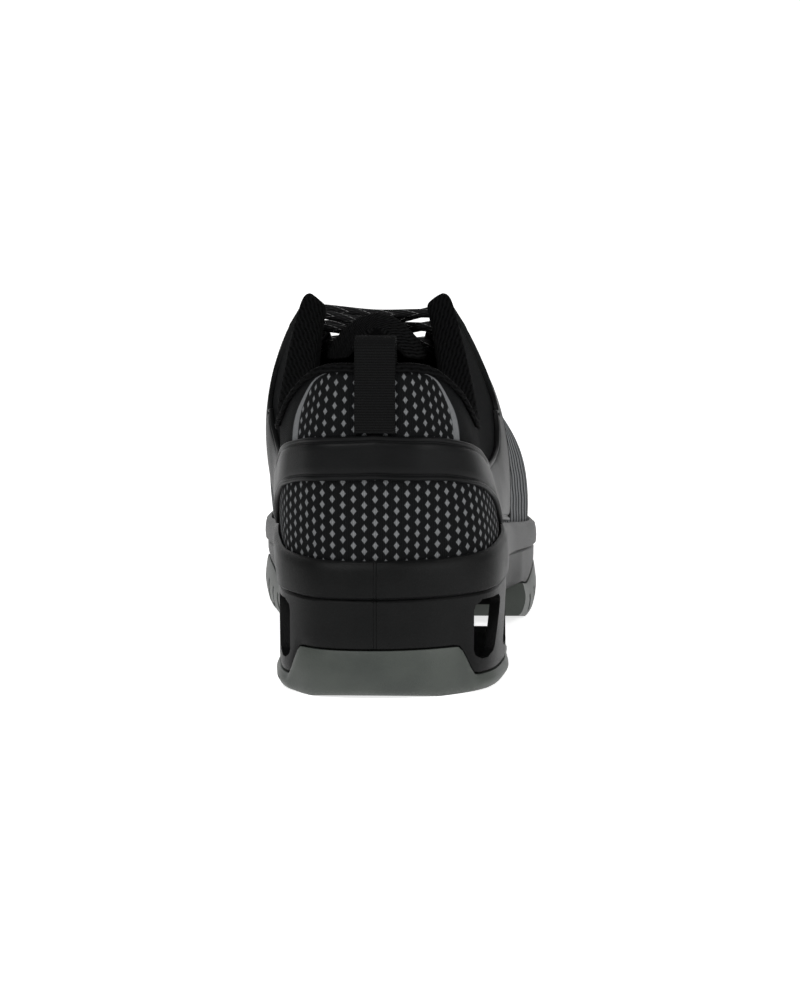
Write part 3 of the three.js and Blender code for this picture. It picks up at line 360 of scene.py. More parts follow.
def shift_to_frame():
    """How far the model's origin lies from the tables' own, from two of its nodes."""
    loop_low, loop_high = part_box("pull_loop")
    tongue_low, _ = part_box("tongue")
    x = 500 * (loop_low.x + loop_high.x) - ridge_x(TOP_LINE["along"][0])
    y = 1000 * tongue_low.y - along_to_y(TONGUE["along"][0])
    return np.array([float(x), float(y), 0.0])


SHIFT = shift_to_frame()


def to_frame(points):
    return (np.asarray(points, float).reshape(-1, 3) + SHIFT) * 0.001


def new_object(name, points, faces, uv=None, layers=None):
    """A mesh object with optional UVs and float layers for each point. Doubles are merged."""
    mesh = bpy.data.meshes.new(name)
    corners = [tuple(int(i) for i in face) for face in faces]
    mesh.from_pydata([tuple(p) for p in to_frame(points)], [], corners)
    if uv is not None:
        loops = np.empty(len(mesh.loops), int)
        mesh.loops.foreach_get("vertex_index", loops)
        mesh.uv_layers.new(name="UVMap").data.foreach_set("uv", np.asarray(uv, float)[loops].ravel())
    for key, values in (layers or {}).items():
        layer = mesh.attributes.new(key, "FLOAT", "POINT")
        layer.data.foreach_set("value", np.asarray(values, float).ravel())
    work = bmesh.new()
    work.from_mesh(mesh)
    bmesh.ops.remove_doubles(work, verts=work.verts, dist=2e-6)
    bmesh.ops.recalc_face_normals(work, faces=work.faces)
    work.to_mesh(mesh)
    work.free()
    mesh.shade_smooth()
    item = bpy.data.objects.new(name, mesh)
    bpy.context.scene.collection.objects.link(item)
    return item


def loft(name, sections, closed, uv=None, layers=None, skip=None):
    """A body from closed sections: sections[i][j]. Open bodies get end caps as one face each."""
    sections = np.asarray(sections, float)
    n, m = sections.shape[:2]
    faces = []
    for i in range(n if closed else n - 1):
        for j in range(m):
            if skip is not None and skip(i, j):
                continue
            a, b = i * m + j, i * m + (j + 1) % m
            c, d = ((i + 1) % n) * m + (j + 1) % m, ((i + 1) % n) * m + j
            faces.append((a, b, c, d))
    if not closed:
        faces.append(tuple(range(m))[::-1])
        faces.append(tuple((n - 1) * m + j for j in range(m)))
    return new_object(name, sections, faces, uv, layers)


def weave_uv(grid):
    """UVs in metres for a grid: the way round and the way up, each measured on the surface."""
    grid = np.asarray(grid, float) * 0.001
    up = np.zeros(grid.shape[:2])
    up[:, 1:] = np.cumsum(np.linalg.norm(np.diff(grid, axis=1), axis=-1), axis=1)
    round_ = np.zeros(grid.shape[:2])
    middle = grid[:, grid.shape[1] // 2]
    round_[1:] = np.cumsum(np.linalg.norm(np.diff(middle, axis=0), axis=-1))[:, None]
    return np.stack([round_, up], -1)


def attach(item, material, slot, *nodes):
    item.data.materials.append(material)
    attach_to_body(item, "root")
    if nodes:
        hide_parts(*nodes)
    return item


class Field:
    """A number in a material's node tree, so that patterns can be written as plain sums."""

    def __init__(self, tree, value):
        self.tree, self.value = tree, value

    def op(self, kind, *others):
        node = self.tree.nodes.new("ShaderNodeMath")
        node.operation = kind
        for socket, item in zip(node.inputs, (self, *others)):
            item = item.value if isinstance(item, Field) else item
            if isinstance(item, (int, float)):
                socket.default_value = item
            else:
                self.tree.links.new(item, socket)
        return Field(self.tree, node.outputs[0])

    def __add__(self, other):
        return self.op("ADD", other)

    def __sub__(self, other):
        return self.op("SUBTRACT", other)

    def __mul__(self, other):
        return self.op("MULTIPLY", other)

    def __truediv__(self, other):
        return self.op("DIVIDE", other)

    def fract(self):
        return self.op("FRACT")

    def abs(self):
        return self.op("ABSOLUTE")

    def sin(self):
        return self.op("SINE")

    def least(self, other):
        return self.op("MINIMUM", other)

    def most(self, other):
        return self.op("MAXIMUM", other)

    def between(self, low, high):
        """0 below low, 1 above high and smooth between."""
        node = self.tree.nodes.new("ShaderNodeMapRange")
        node.interpolation_type = "SMOOTHSTEP"
        self.tree.links.new(self.value, node.inputs[0])
        node.inputs[1].default_value, node.inputs[2].default_value = low, high
        return Field(self.tree, node.outputs[0])


class Surface:
    """One procedural material: a Principled shader with fields for its colour and its relief."""

    def __init__(self, name, roughness, specular):
        self.material = bpy.data.materials.new(name)
        self.material.use_nodes = True
        self.tree = self.material.node_tree
        self.shader = next(n for n in self.tree.nodes if n.type == "BSDF_PRINCIPLED")
        self.shader.inputs["Roughness"].default_value = roughness
        self.shader.inputs["Specular IOR Level"].default_value = specular

    def uv(self):
        node = self.tree.nodes.new("ShaderNodeUVMap")
        node.uv_map = "UVMap"
        split = self.tree.nodes.new("ShaderNodeSeparateXYZ")
        self.tree.links.new(node.outputs[0], split.inputs[0])
        return Field(self.tree, split.outputs[0]), Field(self.tree, split.outputs[1])

    def place(self):
        node = self.tree.nodes.new("ShaderNodeTexCoord")
        split = self.tree.nodes.new("ShaderNodeSeparateXYZ")
        self.tree.links.new(node.outputs["Object"], split.inputs[0])
        return [Field(self.tree, split.outputs[k]) for k in range(3)]

    def layer(self, name):
        node = self.tree.nodes.new("ShaderNodeAttribute")
        node.attribute_name = name
        return Field(self.tree, node.outputs["Fac"])

    def noise(self, scale, detail):
        coord = self.tree.nodes.new("ShaderNodeTexCoord")
        node = self.tree.nodes.new("ShaderNodeTexNoise")
        node.inputs["Scale"].default_value = scale
        node.inputs["Detail"].default_value = detail
        self.tree.links.new(coord.outputs["Object"], node.inputs["Vector"])
        return Field(self.tree, node.outputs["Fac"])

    def mix(self, share, low, high):
        """A colour between two, each a triple or an earlier mix."""
        node = self.tree.nodes.new("ShaderNodeMix")
        node.data_type = "RGBA"
        self.tree.links.new(share.value, node.inputs[0])
        for socket, colour in zip((node.inputs[6], node.inputs[7]), (low, high)):
            if isinstance(colour, tuple):
                socket.default_value = (*colour, 1)
            else:
                self.tree.links.new(colour, socket)
        return node.outputs[2]

    def colour(self, colour):
        socket = self.shader.inputs["Base Color"]
        if isinstance(colour, tuple):
            socket.default_value = (*colour, 1)
        else:
            self.tree.links.new(colour, socket)

    def roughness(self, field):
        self.tree.links.new(field.value, self.shader.inputs["Roughness"])

    def relief(self, height, distance):
        """Bump of a height field whose full range is a distance in metres."""
        bump = self.tree.nodes.new("ShaderNodeBump")
        bump.inputs["Distance"].default_value = distance
        bump.inputs["Strength"].default_value = 1
        self.tree.links.new(height.value, bump.inputs["Height"])
        self.tree.links.new(bump.outputs[0], self.shader.inputs["Normal"])


def lattice(u, v, wide, tall, stretch):
    """Distance to the nearest point of a staggered grid, in a diamond measure."""
    def one(shift):
        x = ((u / wide + (0.5 + shift)).fract() - 0.5).abs() * wide
        y = ((v / tall + (0.5 + shift)).fract() - 0.5).abs() * tall
        return x + y * stretch
    return one(0.0).least(one(0.5))


# Pattern of the knit, in metres: pitch of the dots round and up, and of the stripes
DOT_PITCH = (0.0074, 0.0040)
DOT_STRETCH = 0.74
STRIPE_PITCH = 0.0078
FINE_STRIPE_PITCH = 0.0026


def knit_material():
    """Black knit with a staggered field of light diamonds at the heel and wavy light ribs ahead."""
    surface = Surface("knit_cloth", roughness=0.95, specular=0.06)
    u, v = surface.uv()
    along, heel, stripe = (surface.layer(name) for name in ("round", "heel_zone", "stripe"))
    larger_below = surface.place()[2].between(0.09, 0.08) * -0.00009
    dots = (lattice(along, v, *DOT_PITCH, DOT_STRETCH) + larger_below).between(0.00115, 0.00065)
    stitch_u = (u * (math.tau / 0.0013)).sin()
    stitch_v = ((v + (u / 0.0013 + 0.5).fract().op("PINGPONG", 0.5) * 0.0006) * (math.tau / 0.0009)).sin()
    stitch = stitch_u.abs() * 0.55 + stitch_v.abs() * 0.45
    wave = stripe + ((v * (math.tau / 0.0085)).sin() * 0.0005)
    broad = ((wave / STRIPE_PITCH).fract() - 0.5).abs().between(0.21, 0.27)
    ribs = ((wave / FINE_STRIPE_PITCH).fract() - 0.5).abs().between(0.25, 0.35) * 0.4
    ribs = ribs.most(broad)
    front = heel.between(0.001, -0.001)
    selvedge = surface.layer("selvedge").abs().between(1.25, 0.75)
    plain = surface.layer("plain_zone").between(-0.0004, 0.0004)
    light = (dots * heel.between(-0.001, 0.001)).most(ribs * front)
    light = (light * (plain * -1 + 1)).most(selvedge)
    mottle = surface.noise(900, 3) * 0.35 + 0.78
    light = light * mottle
    black = surface.mix(stitch, (0.0015, 0.0017, 0.0018), (0.0062, 0.0066, 0.007))
    grey = surface.mix(stitch, (0.08, 0.083, 0.086), (0.175, 0.18, 0.185))
    surface.colour(surface.mix(light, black, grey))
    surface.relief(stitch * 0.6 + light * 0.55, 0.00035)
    return surface.material


def mesh_material(name, rib, base, high):
    """Ribbed spacer mesh: soft wavy ribs with fine open holes between them. Its colour is painted highlight on
    the rib crests and painted shade in the troughs and holes.
    """
    surface = Surface(name, roughness=0.95, specular=0.03)
    u, v = surface.uv()
    wave = v + (u * (math.tau / 0.0042)).sin() * (rib * 0.12)
    ribs = (wave * (math.pi / rib)).sin().abs()
    holes = lattice(u, v, rib * 2, rib * 2, 1.0).between(rib * 0.1, rib * 0.6)
    height = ribs * 0.65 + holes * 0.35
    # Colour follows the relief: painted highlight on the rib crests, painted shade in the troughs and holes.
    surface.colour(surface.mix(height * (surface.noise(700, 2) * 0.5 + 0.6), base, high))
    surface.relief(height, 0.0007)
    return surface.material


# The mould's seam down the back of the heel, in metres
SEAM_X = -0.0013
SEAM_DEPTH = 0.0006


def moulded_material(name, base, high, roughness, grain=0.00006, seam=False):
    """Satin moulded plastic: fine grain, slightly uneven gloss and, if asked, a seam down the back."""
    surface = Surface(name, roughness=roughness, specular=0.08)
    fine = surface.noise(2600, 2)
    broad = surface.noise(55, 3)
    surface.colour(surface.mix(broad.between(0.3, 0.7), base, high))
    surface.roughness(fine * 0.1 + broad * 0.12 + (roughness - 0.11))
    height, depth = fine, grain
    if seam:
        x, y, _ = surface.place()
        line = (x - SEAM_X).abs().between(0.0007, 0.0003) * y.between(-0.12, -0.13)
        height, depth = fine * 0.2 - line, SEAM_DEPTH
    surface.relief(height, depth)
    return surface.material


def rubber_material():
    """Green-grey outsole rubber, lighter in speckles where it meets the floor."""
    surface = Surface("outsole_rubber", roughness=0.5, specular=0.3)
    z = surface.place()[2]
    broad = surface.noise(40, 4)
    fine = surface.noise(1800, 3)
    tone = surface.mix(broad.between(0.35, 0.65), (0.03, 0.035, 0.031), (0.042, 0.048, 0.042))
    # Lighter speckles within 4 mm of the floor, mixed into the colour.
    low_speckle = z.between(0.004, 0.0) * fine.between(0.45, 0.7) * 0.35
    surface.colour(surface.mix(low_speckle, tone, (0.16, 0.16, 0.15)))
    surface.roughness(fine * 0.12 + broad * 0.1 + 0.38)
    surface.relief(fine, 0.00008)
    return surface.material


def webbing_material(name, pitch, base, high):
    """Narrow woven webbing: fine ribs straight across, with the weave's small steps."""
    surface = Surface(name, roughness=0.9, specular=0.04)
    u, v = surface.uv()
    ribs = (v * (math.pi / pitch)).sin().abs()
    warp = ((u + ((v / pitch).op("FLOOR") * 0.5).fract() * 0.0008) * (math.pi / 0.0008)).sin().abs()
    height = ribs * 0.75 + warp * 0.25
    surface.colour(surface.mix(height, base, high))
    surface.relief(height, 0.0003)
    return surface.material


def lace_material():
    """Round braided cord, black with light flecks."""
    surface = Surface("lace_cord", roughness=0.85, specular=0.1)
    u, v = surface.uv()
    one = ((u * 5 + v / 0.0042) * math.pi).sin().abs()
    two = ((u * 5 - v / 0.0042) * math.pi).sin().abs()
    fleck = ((u * 2 + v / 0.0095).fract() - 0.5).abs().between(0.45, 0.48)
    black = surface.mix(one * two, (0.003, 0.003, 0.003), (0.018, 0.018, 0.019))
    surface.colour(surface.mix(fleck * two.between(0.2, 0.5), black, (0.2, 0.2, 0.2)))
    surface.relief(one.most(two), 0.0003)
    return surface.material


def cut(item, *cutters):
    """Takes the cutters out of a piece and removes them."""
    for cutter in cutters:
        modifier = item.modifiers.new("cut", "BOOLEAN")
        modifier.operation, modifier.solver, modifier.object = "DIFFERENCE", "EXACT", cutter
        with bpy.context.temp_override(object=item, active_object=item):
            bpy.ops.object.modifier_apply(modifier=modifier.name)
        bpy.data.objects.remove(cutter)
    return item


def sharpen(item, degrees=38):
    item.data.set_sharp_from_angle(angle=math.radians(degrees))
    return item


def arc_lengths(stations, share=0.5):
    """Length along the upper from the heel to each station, the same way on both sides."""
    lengths = np.zeros(len(stations.run))
    for side in (1, -1):
        runs = np.linspace(0, 1, 201)
        line = rib_points(Stations(np.full(201, side), runs), [share])[:, 0]
        total = travelled(line)
        mine = stations.side == side
        lengths[mine] = np.interp(stations.run[mine], runs, total)
    return lengths * 0.001


def rib_lengths(grid):
    """Length up each rib of a grid, in metres."""
    steps = np.linalg.norm(np.diff(grid, axis=1), axis=-1) * 0.001
    return np.concatenate([np.zeros((len(grid), 1)), np.cumsum(steps, axis=1)], axis=1)


# Dotted heel panel above the band: half width, and half width of its light selvedge, by height.
PANEL = {
    "height": [84, 88, 93, 98, 103, 107, 109.5, 111.5, 113.5],
    "half": [28.2, 28.1, 27.7, 26.6, 24.6, 22.6, 20.9, 18.2, 13],
    "selvedge": [1.0, 1.0, 0.95, 0.8, 0.55, 0.4, 0.35, 0.35, 0.35],
}


def make_upper():
    stations = around(120)
    rows = 56
    shares = np.linspace(0, 1, rows + 1)
    outer = on_upper(stations, shares, 0)
    inner = on_upper(stations, shares, -UPPER_WALL)
    sections = np.concatenate([outer, inner[:, ::-1]], axis=1)
    total = len(stations.run)
    shut = stations.run >= THROAT_END_RUN - 1e-9
    skip = lambda i, j: j == rows and shut[i] and shut[(i + 1) % total]
    lengths = np.repeat(arc_lengths(stations)[:, None], sections.shape[1], axis=1)
    up = rib_lengths(outer)
    up = np.concatenate([up, up[:, ::-1]], axis=1)
    uv = np.stack([lengths, up], -1).reshape(-1, 2)
    z = sections[..., 2]
    across = np.abs(sections[..., 0] - ridge_x(y_to_along(sections[..., 1]))) * 0.001
    band = 0.5 * (column(FRAME_EDGES, "run", "low", stations.run)
                  + column(FRAME_EDGES, "run", "high", stations.run)) * COLLAR_HEIGHT
    above = (z > band[:, None]) & (stations.run < 0.42)[:, None]
    half = 0.001 * smooth_at(PANEL["height"], PANEL["half"], z)
    panel = half - across
    edge = 0.001 * smooth_at(PANEL["height"], PANEL["selvedge"], z)
    below = np.repeat(((0.275 - stations.run) * 0.3)[:, None], z.shape[1], axis=1)
    layers = {
        "round": lengths,
        "heel_zone": np.where(above, panel, below),
        "selvedge": np.where(above, panel / edge, 9.0),
        "plain_zone": np.where(above, -panel, -1.0),
        "stripe": lengths + 0.22 * up,
    }
    item = loft("upper_knit", sections, True, uv, layers, skip)
    cut(item, *eyelet_punches())
    return attach(sharpen(item, 50), knit_material(), "knit", "upper")


# Section of the frame's border: distance from its edge and lift off the upper, in millimetres.
BORDER = [(0, GAP), (0, 0.9), (0.12, 1.4), (0.5, 1.85), (1.0, 1.9), (1.45, 1.6), (1.8, 1.1), (2.15, 1.1),
          (2.5, 1.5), (3.2, 1.7), (4.5, 1.8)]


def make_frame():
    stations = round_heel(FRAME_END_RUN, 230)
    low = column(FRAME_EDGES, "run", "low", stations.run) * COLLAR_HEIGHT
    high = column(FRAME_EDGES, "run", "high", stations.run) * COLLAR_HEIGHT
    low_share = share_at_height(stations, np.maximum(low, rim_height(stations.along) + 2 * GAP))
    high_share = share_at_height(stations, high)
    length = rib_lengths(rib_points(stations, np.linspace(0, 1, 41)))[:, -1] * 1000
    per_mm = (1 / length)[:, None]
    distance, lift = np.array(BORDER).T
    width = ((high_share - low_share) * length)[:, None]
    squeeze = np.minimum(width / (2.2 * distance[-1]), 1)
    lower = low_share[:, None] + distance * per_mm * squeeze
    upper = (high_share[:, None] - distance * per_mm * squeeze)[:, ::-1]
    middle = lower[:, -1:] + (upper[:, :1] - lower[:, -1:]) * np.linspace(0, 1, 12)[1:-1]
    shares = np.concatenate([lower, middle, upper], axis=1)
    lifts = np.concatenate([lift, np.full(middle.shape[1], lift[-1]), lift[::-1]])
    outer = on_upper(stations, shares, lifts[None, :])
    sections = np.concatenate([outer, on_upper(stations, shares[:, -2:0:-4], GAP)], axis=1)
    uv = weave_uv(sections).reshape(-1, 2)
    item = loft("side_frame_moulding", sections, False, uv)
    cut(item, *eyelet_punches())
    material = moulded_material("frame_plastic", (0.0034, 0.0036, 0.0037), (0.0046, 0.0048, 0.005), 0.4)
    return attach(sharpen(item), material, "moulded_frame", "side_frame")


def densify(sections, steps):
    """Extra points between the corners of closed sections, by a count for each span."""
    sections = np.asarray(sections, float)
    following = np.roll(sections, -1, axis=1)
    parts = []
    for j, count in enumerate(steps):
        for k in range(count):
            parts.append(sections[:, j] + (following[:, j] - sections[:, j]) * k / count)
    return np.stack(parts, axis=1)


def outsole_top(stations):
    past = np.clip((stations.run - 0.085) / 0.025, 0, 1)
    past = past * past * (3 - 2 * past)
    heel = OUTSOLE_HEIGHT + (HEEL_TREAD_THICKNESS - OUTSOLE_HEIGHT) * past
    wave = column(WAVE, "along", "top", stations.along) * OUTSOLE_HEIGHT
    return np.where(stations.along <= HEEL_PLATE_END, heel, wave)


def make_midsole():
    stations = around(130)
    along = stations.along
    in_arch = (along > HEEL_PLATE_END) & (along < FOREFOOT_START)
    share = np.clip((along - HEEL_PLATE_END) / (FOREFOOT_START - HEEL_PLATE_END), 0, 1)
    tuck = np.where(in_arch, 4 * np.sin(math.pi * share), 0)
    floor = np.where(in_arch, OUTSOLE_HEIGHT, outsole_top(stations)) + GAP
    crease = crease_height(along)
    rim_share = share_at_height(stations, rim_height(along))[:, None]
    rim_outer = on_upper(stations, rim_share, GAP + RIM_WALL)[:, 0]
    rim_inner = on_upper(stations, rim_share, GAP)[:, 0]
    shoulder = stations.plan(-0.2, crease + 1.0)
    swell = np.column_stack([stations.outward, np.zeros(len(along))])
    low_side = np.minimum(floor + 2.5, crease - 2)
    parts = [
        stations.plan(1.9 + tuck, floor),
        stations.plan(1.2 + tuck, floor + 0.5),
        stations.plan(0.8 + 0.8 * tuck, low_side),
        stations.plan(0.75 + 0.3 * tuck, crease - 1.0),
        stations.plan(1.1 + 0.3 * tuck, crease - 0.45),
        stations.plan(1.5 + 0.2 * tuck, crease),
        stations.plan(0.35, crease + 0.5),
        shoulder,
        shoulder + (rim_outer - shoulder) * 0.3 + swell * 0.55,
        shoulder + (rim_outer - shoulder) * 0.6 + swell * 0.75,
        shoulder + (rim_outer - shoulder) * 0.85 + swell * 0.6,
        rim_outer - np.array([0, 0, 0.9]) + swell * 0.15,
        rim_outer - np.array([0, 0, 0.25]) - swell * 0.35,
        rim_inner + swell * 0.6 + np.array([0, 0, 0.05]),
        rim_inner - np.array([0, 0, 0.4]),
        on_upper(stations, rim_share * 0.5, GAP)[:, 0],
        stations.plan(FEATHER_INSET - GAP, bed_height(along)),
    ]
    sections = densify(np.stack(parts, axis=1), [1, 1, 6, 1, 1, 1, 1, 2, 2, 2, 1, 1, 1, 1, 1, 2, 1])
    loops = np.swapaxes(sections, 0, 1)
    item = stacked("midsole_foam", loops, len(along))
    cut(item, *heel_channels(), *heel_windows())
    dark, light = (0.0034, 0.0036, 0.0036), (0.0048, 0.005, 0.005)
    material = moulded_material("midsole_foam", dark, light, 0.42, seam=True)
    return attach(sharpen(item, 32), material, "midsole_foam", "midsole")


def stacked(name, loops, fold=None):
    """A body from a stack of loops. Its ends are strips between the points that fold onto each other."""
    loops = np.asarray(loops, float)
    n, m = loops.shape[:2]
    fold = m - 1 if fold is None else fold
    faces = [(i * m + j, i * m + (j + 1) % m, (i + 1) * m + (j + 1) % m, (i + 1) * m + j)
             for i in range(n - 1) for j in range(m)]
    for base, turn in ((0, -1), ((n - 1) * m, 1)):
        for i in range(fold // 2):
            corners = [base + k for k in dict.fromkeys((i, i + 1, (fold - i - 1) % m, (fold - i) % m))]
            if len(corners) > 2:
                faces.append(tuple(corners[::turn]))
    return new_object(name, loops, faces)


def prism(points, bottom, height):
    flat = np.asarray(points, float)
    low = np.column_stack([flat, np.full(len(flat), bottom)])
    return stacked("cutter", [low, low + np.array([0, 0, height])])


def heel_channels():
    cutters = []
    for side in (1, -1):
        runs = np.linspace(0.02, 0.4, 60)
        line = Stations(np.full(60, side), runs)
        keep = (line.along > CHANNEL_START) & (line.along < HEEL_PLATE_END)
        outer = line.plan(CAGE_WALL, 0)[keep, :2]
        core = lambda along: float(ridge_x(along)) + side * CAGE_CORE_WIDTH / 2
        end = along_to_y(CHANNEL_END)
        points = [(core(CHANNEL_START), outer[0][1]), *outer, (outer[-1][0], end), (core(CHANNEL_END), end)]
        cutters.append(prism(points, WINDOW_BOTTOM, WINDOW_HEIGHT))
    return cutters


def heel_windows():
    cutters = []
    for side in (1, -1):
        for rear_low, rear_high, front_low, front_high in HEEL_WINDOWS:
            loops = []
            for t in np.linspace(0, 1, 13):
                rear = rear_low + (rear_high - rear_low) * t
                front = front_low + (front_high - front_low) * t
                round_off = 0.012 * (1 - min(1, min(t, 1 - t) / 0.14)) ** 2
                line = Stations(np.full(6, side), np.linspace(rear + round_off, front - round_off, 6))
                z = WINDOW_BOTTOM + WINDOW_HEIGHT * t
                outside, inside = line.plan(-CAGE_WALL, z), line.plan(2 * CAGE_WALL, z)
                loops.append(np.concatenate([outside, inside[::-1]]))
            cutters.append(stacked("cutter", loops))
    return cutters


# Section of the outsole's edge: share of its height and distance inside the outline.
OUTSOLE_EDGE = [(0, 2.6), (0.05, 1.7), (0.12, 1.0), (0.22, 0.5), (0.36, -0.05), (0.5, -0.35), (0.65, -0.3),
                (0.8, 0.1), (0.93, 0.45), (1, 0.9)]


def tread_height(along):
    rear = 1.5 * np.maximum(1 - along / 0.02, 0)
    arch = np.where(along > HEEL_PLATE_END, 4 * np.maximum((FOREFOOT_START - along) / 0.07 + 1, 0), 0)
    return rear + arch + spring_height(along)


def outsole_body(name, stations):
    low, high = tread_height(stations.along), outsole_top(stations)
    return stacked(name, [stations.plan(inset, low + (high - low) * share) for share, inset in OUTSOLE_EDGE])


def block(size, turns, at):
    """A box cutter of a size, turned about X and then Z, at a place, in millimetres."""
    x, y, z = (np.array(size) / 2)
    square = ((-1, -1), (1, -1), (1, 1), (-1, 1))
    corners = np.array([(a * x, b * y, c * z) for c in (-1, 1) for a, b in square])
    tilt, turn = turns
    rot_x = np.array([[1, 0, 0], [0, math.cos(tilt), -math.sin(tilt)],
                      [0, math.sin(tilt), math.cos(tilt)]])
    rot_z = np.array([[math.cos(turn), -math.sin(turn), 0],
                      [math.sin(turn), math.cos(turn), 0], [0, 0, 1]])
    corners = corners @ rot_x.T @ rot_z.T + np.array(at)
    return stacked("cutter", [corners[:4], corners[4:]])


def tread_grooves(alongs, centre, length, slant):
    cutters = []
    for along in alongs:
        for side in (1, -1):
            x = float(ridge_x(along)) + side * centre * BALL_WIDTH
            at = (x, along_to_y(along), float(tread_height(along)))
            turn = side * math.radians(slant)
            cutters.append(block((length * BALL_WIDTH, 5, 7), (0, turn), at))
    return cutters


def side_grooves():
    cutters = []
    for side in (1, -1):
        for run in np.arange(0.53, 0.9, 0.035):
            line = Stations([side], [run])
            low = float(tread_height(line.along)[0])
            tall = float(outsole_top(line)[0]) - low
            x, y = line.outward[0]
            at = line.plan(-0.4, low + 0.36 * tall)[0]
            cutters.append(block((2.8, 2.4, 0.62 * tall), (side * math.radians(14), math.atan2(y, x)), at))
    return cutters


def make_outsoles():
    material = rubber_material()
    line = around(150)
    heel = np.flatnonzero(line.along <= HEEL_PLATE_END)
    heel = np.r_[heel[heel > 150], heel[heel <= 150]]
    fore = np.flatnonzero(line.along >= FOREFOOT_START)
    rear = outsole_body("outsole_heel_rubber", Stations(line.side[heel], line.run[heel]))
    cut(rear, *tread_grooves([0.075, 0.14, 0.205], 0.19, 0.34, 14))
    attach(sharpen(rear, 35), material, "outsole_rubber", "outsole_heel")
    front = outsole_body("outsole_forefoot_rubber", Stations(line.side[fore], line.run[fore]))
    alongs = [0.585, 0.645, 0.705, 0.765, 0.825, 0.885]
    cut(front, *tread_grooves(alongs, 0.27, 0.44, 12), *side_grooves())
    attach(sharpen(front, 35), material, "outsole_rubber", "outsole_forefoot")


def make_insole():
    stations = around(80)
    inset = FEATHER_INSET + UPPER_WALL + 0.8
    bed = bed_height(stations.along) + GAP
    top = INSOLE_THICKNESS
    levels = [(0.4, 0), (0, 0.6), (0, top - 1), (0.5, top - 0.2), (1.6, top)]
    loops = [stations.plan(inset + more, bed + lift) for more, lift in levels]
    item = stacked("insole_foam", loops, len(stations.run))
    uv = item.data.uv_layers.new(name="UVMap")
    for loop in item.data.loops:
        co = item.data.vertices[loop.vertex_index].co
        uv.data[loop.index].uv = (co.x, co.y)
    material = mesh_material("insole_cloth", 0.0014, (0.008, 0.008, 0.0085), (0.03, 0.031, 0.033))
    return attach(sharpen(item), material, "lining", "insole")


def smooth_closed(points, steps):
    """A closed Catmull-Rom curve through the points of each section."""
    points = np.asarray(points, float)
    a, b, c, d = (np.roll(points, k, axis=1) for k in (1, 0, -1, -2))
    parts = []
    for k in range(steps):
        t = k / steps
        parts.append(0.5 * ((2 * b) + (c - a) * t + (2 * a - 5 * b + 4 * c - d) * t * t
                            + (3 * b - a - 3 * c + d) * t ** 3))
    out = np.stack(parts, axis=2)
    return out.reshape(points.shape[0], -1, 3)


def make_collar_pad():
    stations = round_heel(PAD_END_RUN, 110)
    thick = column(PAD, "run", "thick", stations.run) * PAD_THICKNESS
    back = -(UPPER_WALL + PAD_GAP)
    top = rib_points(stations, [1.0])[:, 0]
    up = unit(top - rib_points(stations, [0.9])[:, 0])
    above = lambda rise, lift: on_upper(stations, [1.0], np.reshape(lift, (-1, 1)))[:, 0] + up * rise
    low = 1 - PAD_DEPTH_SHARE
    wall = [on_upper(stations, [share], back)[:, 0] for share in np.linspace(low, 0.95, 6)]
    flat = np.full(len(stations.run), -PAD_GAP)
    points = [
        *wall,
        above(2 * PAD_GAP, flat + back + PAD_GAP),
        above(0.1, flat + 1.0),
        above(-0.9, flat + 1.3),
        above(-0.3, flat + 2.3),
        above(0.45 * PAD_ROLL, flat + 2.2),
        above(0.85 * PAD_ROLL, flat + 0.6),
        above(PAD_ROLL, back - 0.2 * thick),
        above(0.8 * PAD_ROLL, back - 0.7 * thick),
        above(-0.4 * PAD_ROLL, back - 0.95 * thick),
        above(-2 * PAD_ROLL, back - thick),
        on_upper(stations, [low + (1 - low) / 2], np.reshape(back - 0.85 * thick, (-1, 1)))[:, 0],
        on_upper(stations, [low + (1 - low) / 4], np.reshape(back - 0.55 * thick, (-1, 1)))[:, 0],
        on_upper(stations, [low], np.reshape(back - 0.2 * thick, (-1, 1)))[:, 0],
    ]
    sections = smooth_closed(np.stack(points, axis=1), 3)
    item = loft("collar_padding", sections, False, weave_uv(sections).reshape(-1, 2))
    material = mesh_material("collar_cloth", 0.0017, (0.0004, 0.0004, 0.0004), (0.0045, 0.0046, 0.0048))
    attach(item, material, "lining", "collar_pad")
    return item


def make_tongue():
    low, high = TONGUE["along"][0], TONGUE["along"][-1]
    alongs = np.linspace(low, high, 60)
    value = lambda name: column(TONGUE, "along", name, alongs)
    half, thick = value("half") * THROAT_WIDTH, value("thick") * TONGUE_THICKNESS
    angles = np.linspace(0, 2 * math.pi, 48, endpoint=False)
    across = np.sign(np.cos(angles)) * np.abs(np.cos(angles)) ** 0.55
    depth = 0.5 - 0.5 * np.sign(np.sin(angles)) * np.abs(np.sin(angles)) ** 0.8
    x = ridge_x(alongs)[:, None] + across * half[:, None]
    top = (value("top")[:, None] - value("drop")[:, None] * across ** 2) * INSTEP_HEIGHT
    z = top - depth * (thick[:, None] * (1 - TONGUE_EDGE_THINNING * across ** 4))
    y = np.repeat(along_to_y(alongs)[:, None], 48, axis=1)
    sections = np.stack([x, y, z], -1)
    centre = sections.mean(axis=1, keepdims=True)
    for k, shrink in enumerate((0.62, 0.86, 0.97)):
        sections[k] = centre[k] + (sections[k] - centre[k]) * shrink
    item = loft("tongue_padding", sections, False, weave_uv(sections).reshape(-1, 2))
    material = mesh_material("tongue_cloth", 0.0015, (0.0008, 0.0008, 0.0008), (0.007, 0.0071, 0.0073))
    attach(sharpen(item, 45), material, "lining", "tongue")
    return item


def eyelet(side, run, from_edge):
    """Place and outward normal at a distance down the rib from the throat's edge."""
    station = Stations([side], [run])
    fine = np.linspace(1, 0, 241)
    line = rib_points(station, fine)[0]
    share = [float(np.interp(from_edge, travelled(line), fine))]
    return rib_points(station, share)[0, 0], rib_normals(station, share)[0, 0]


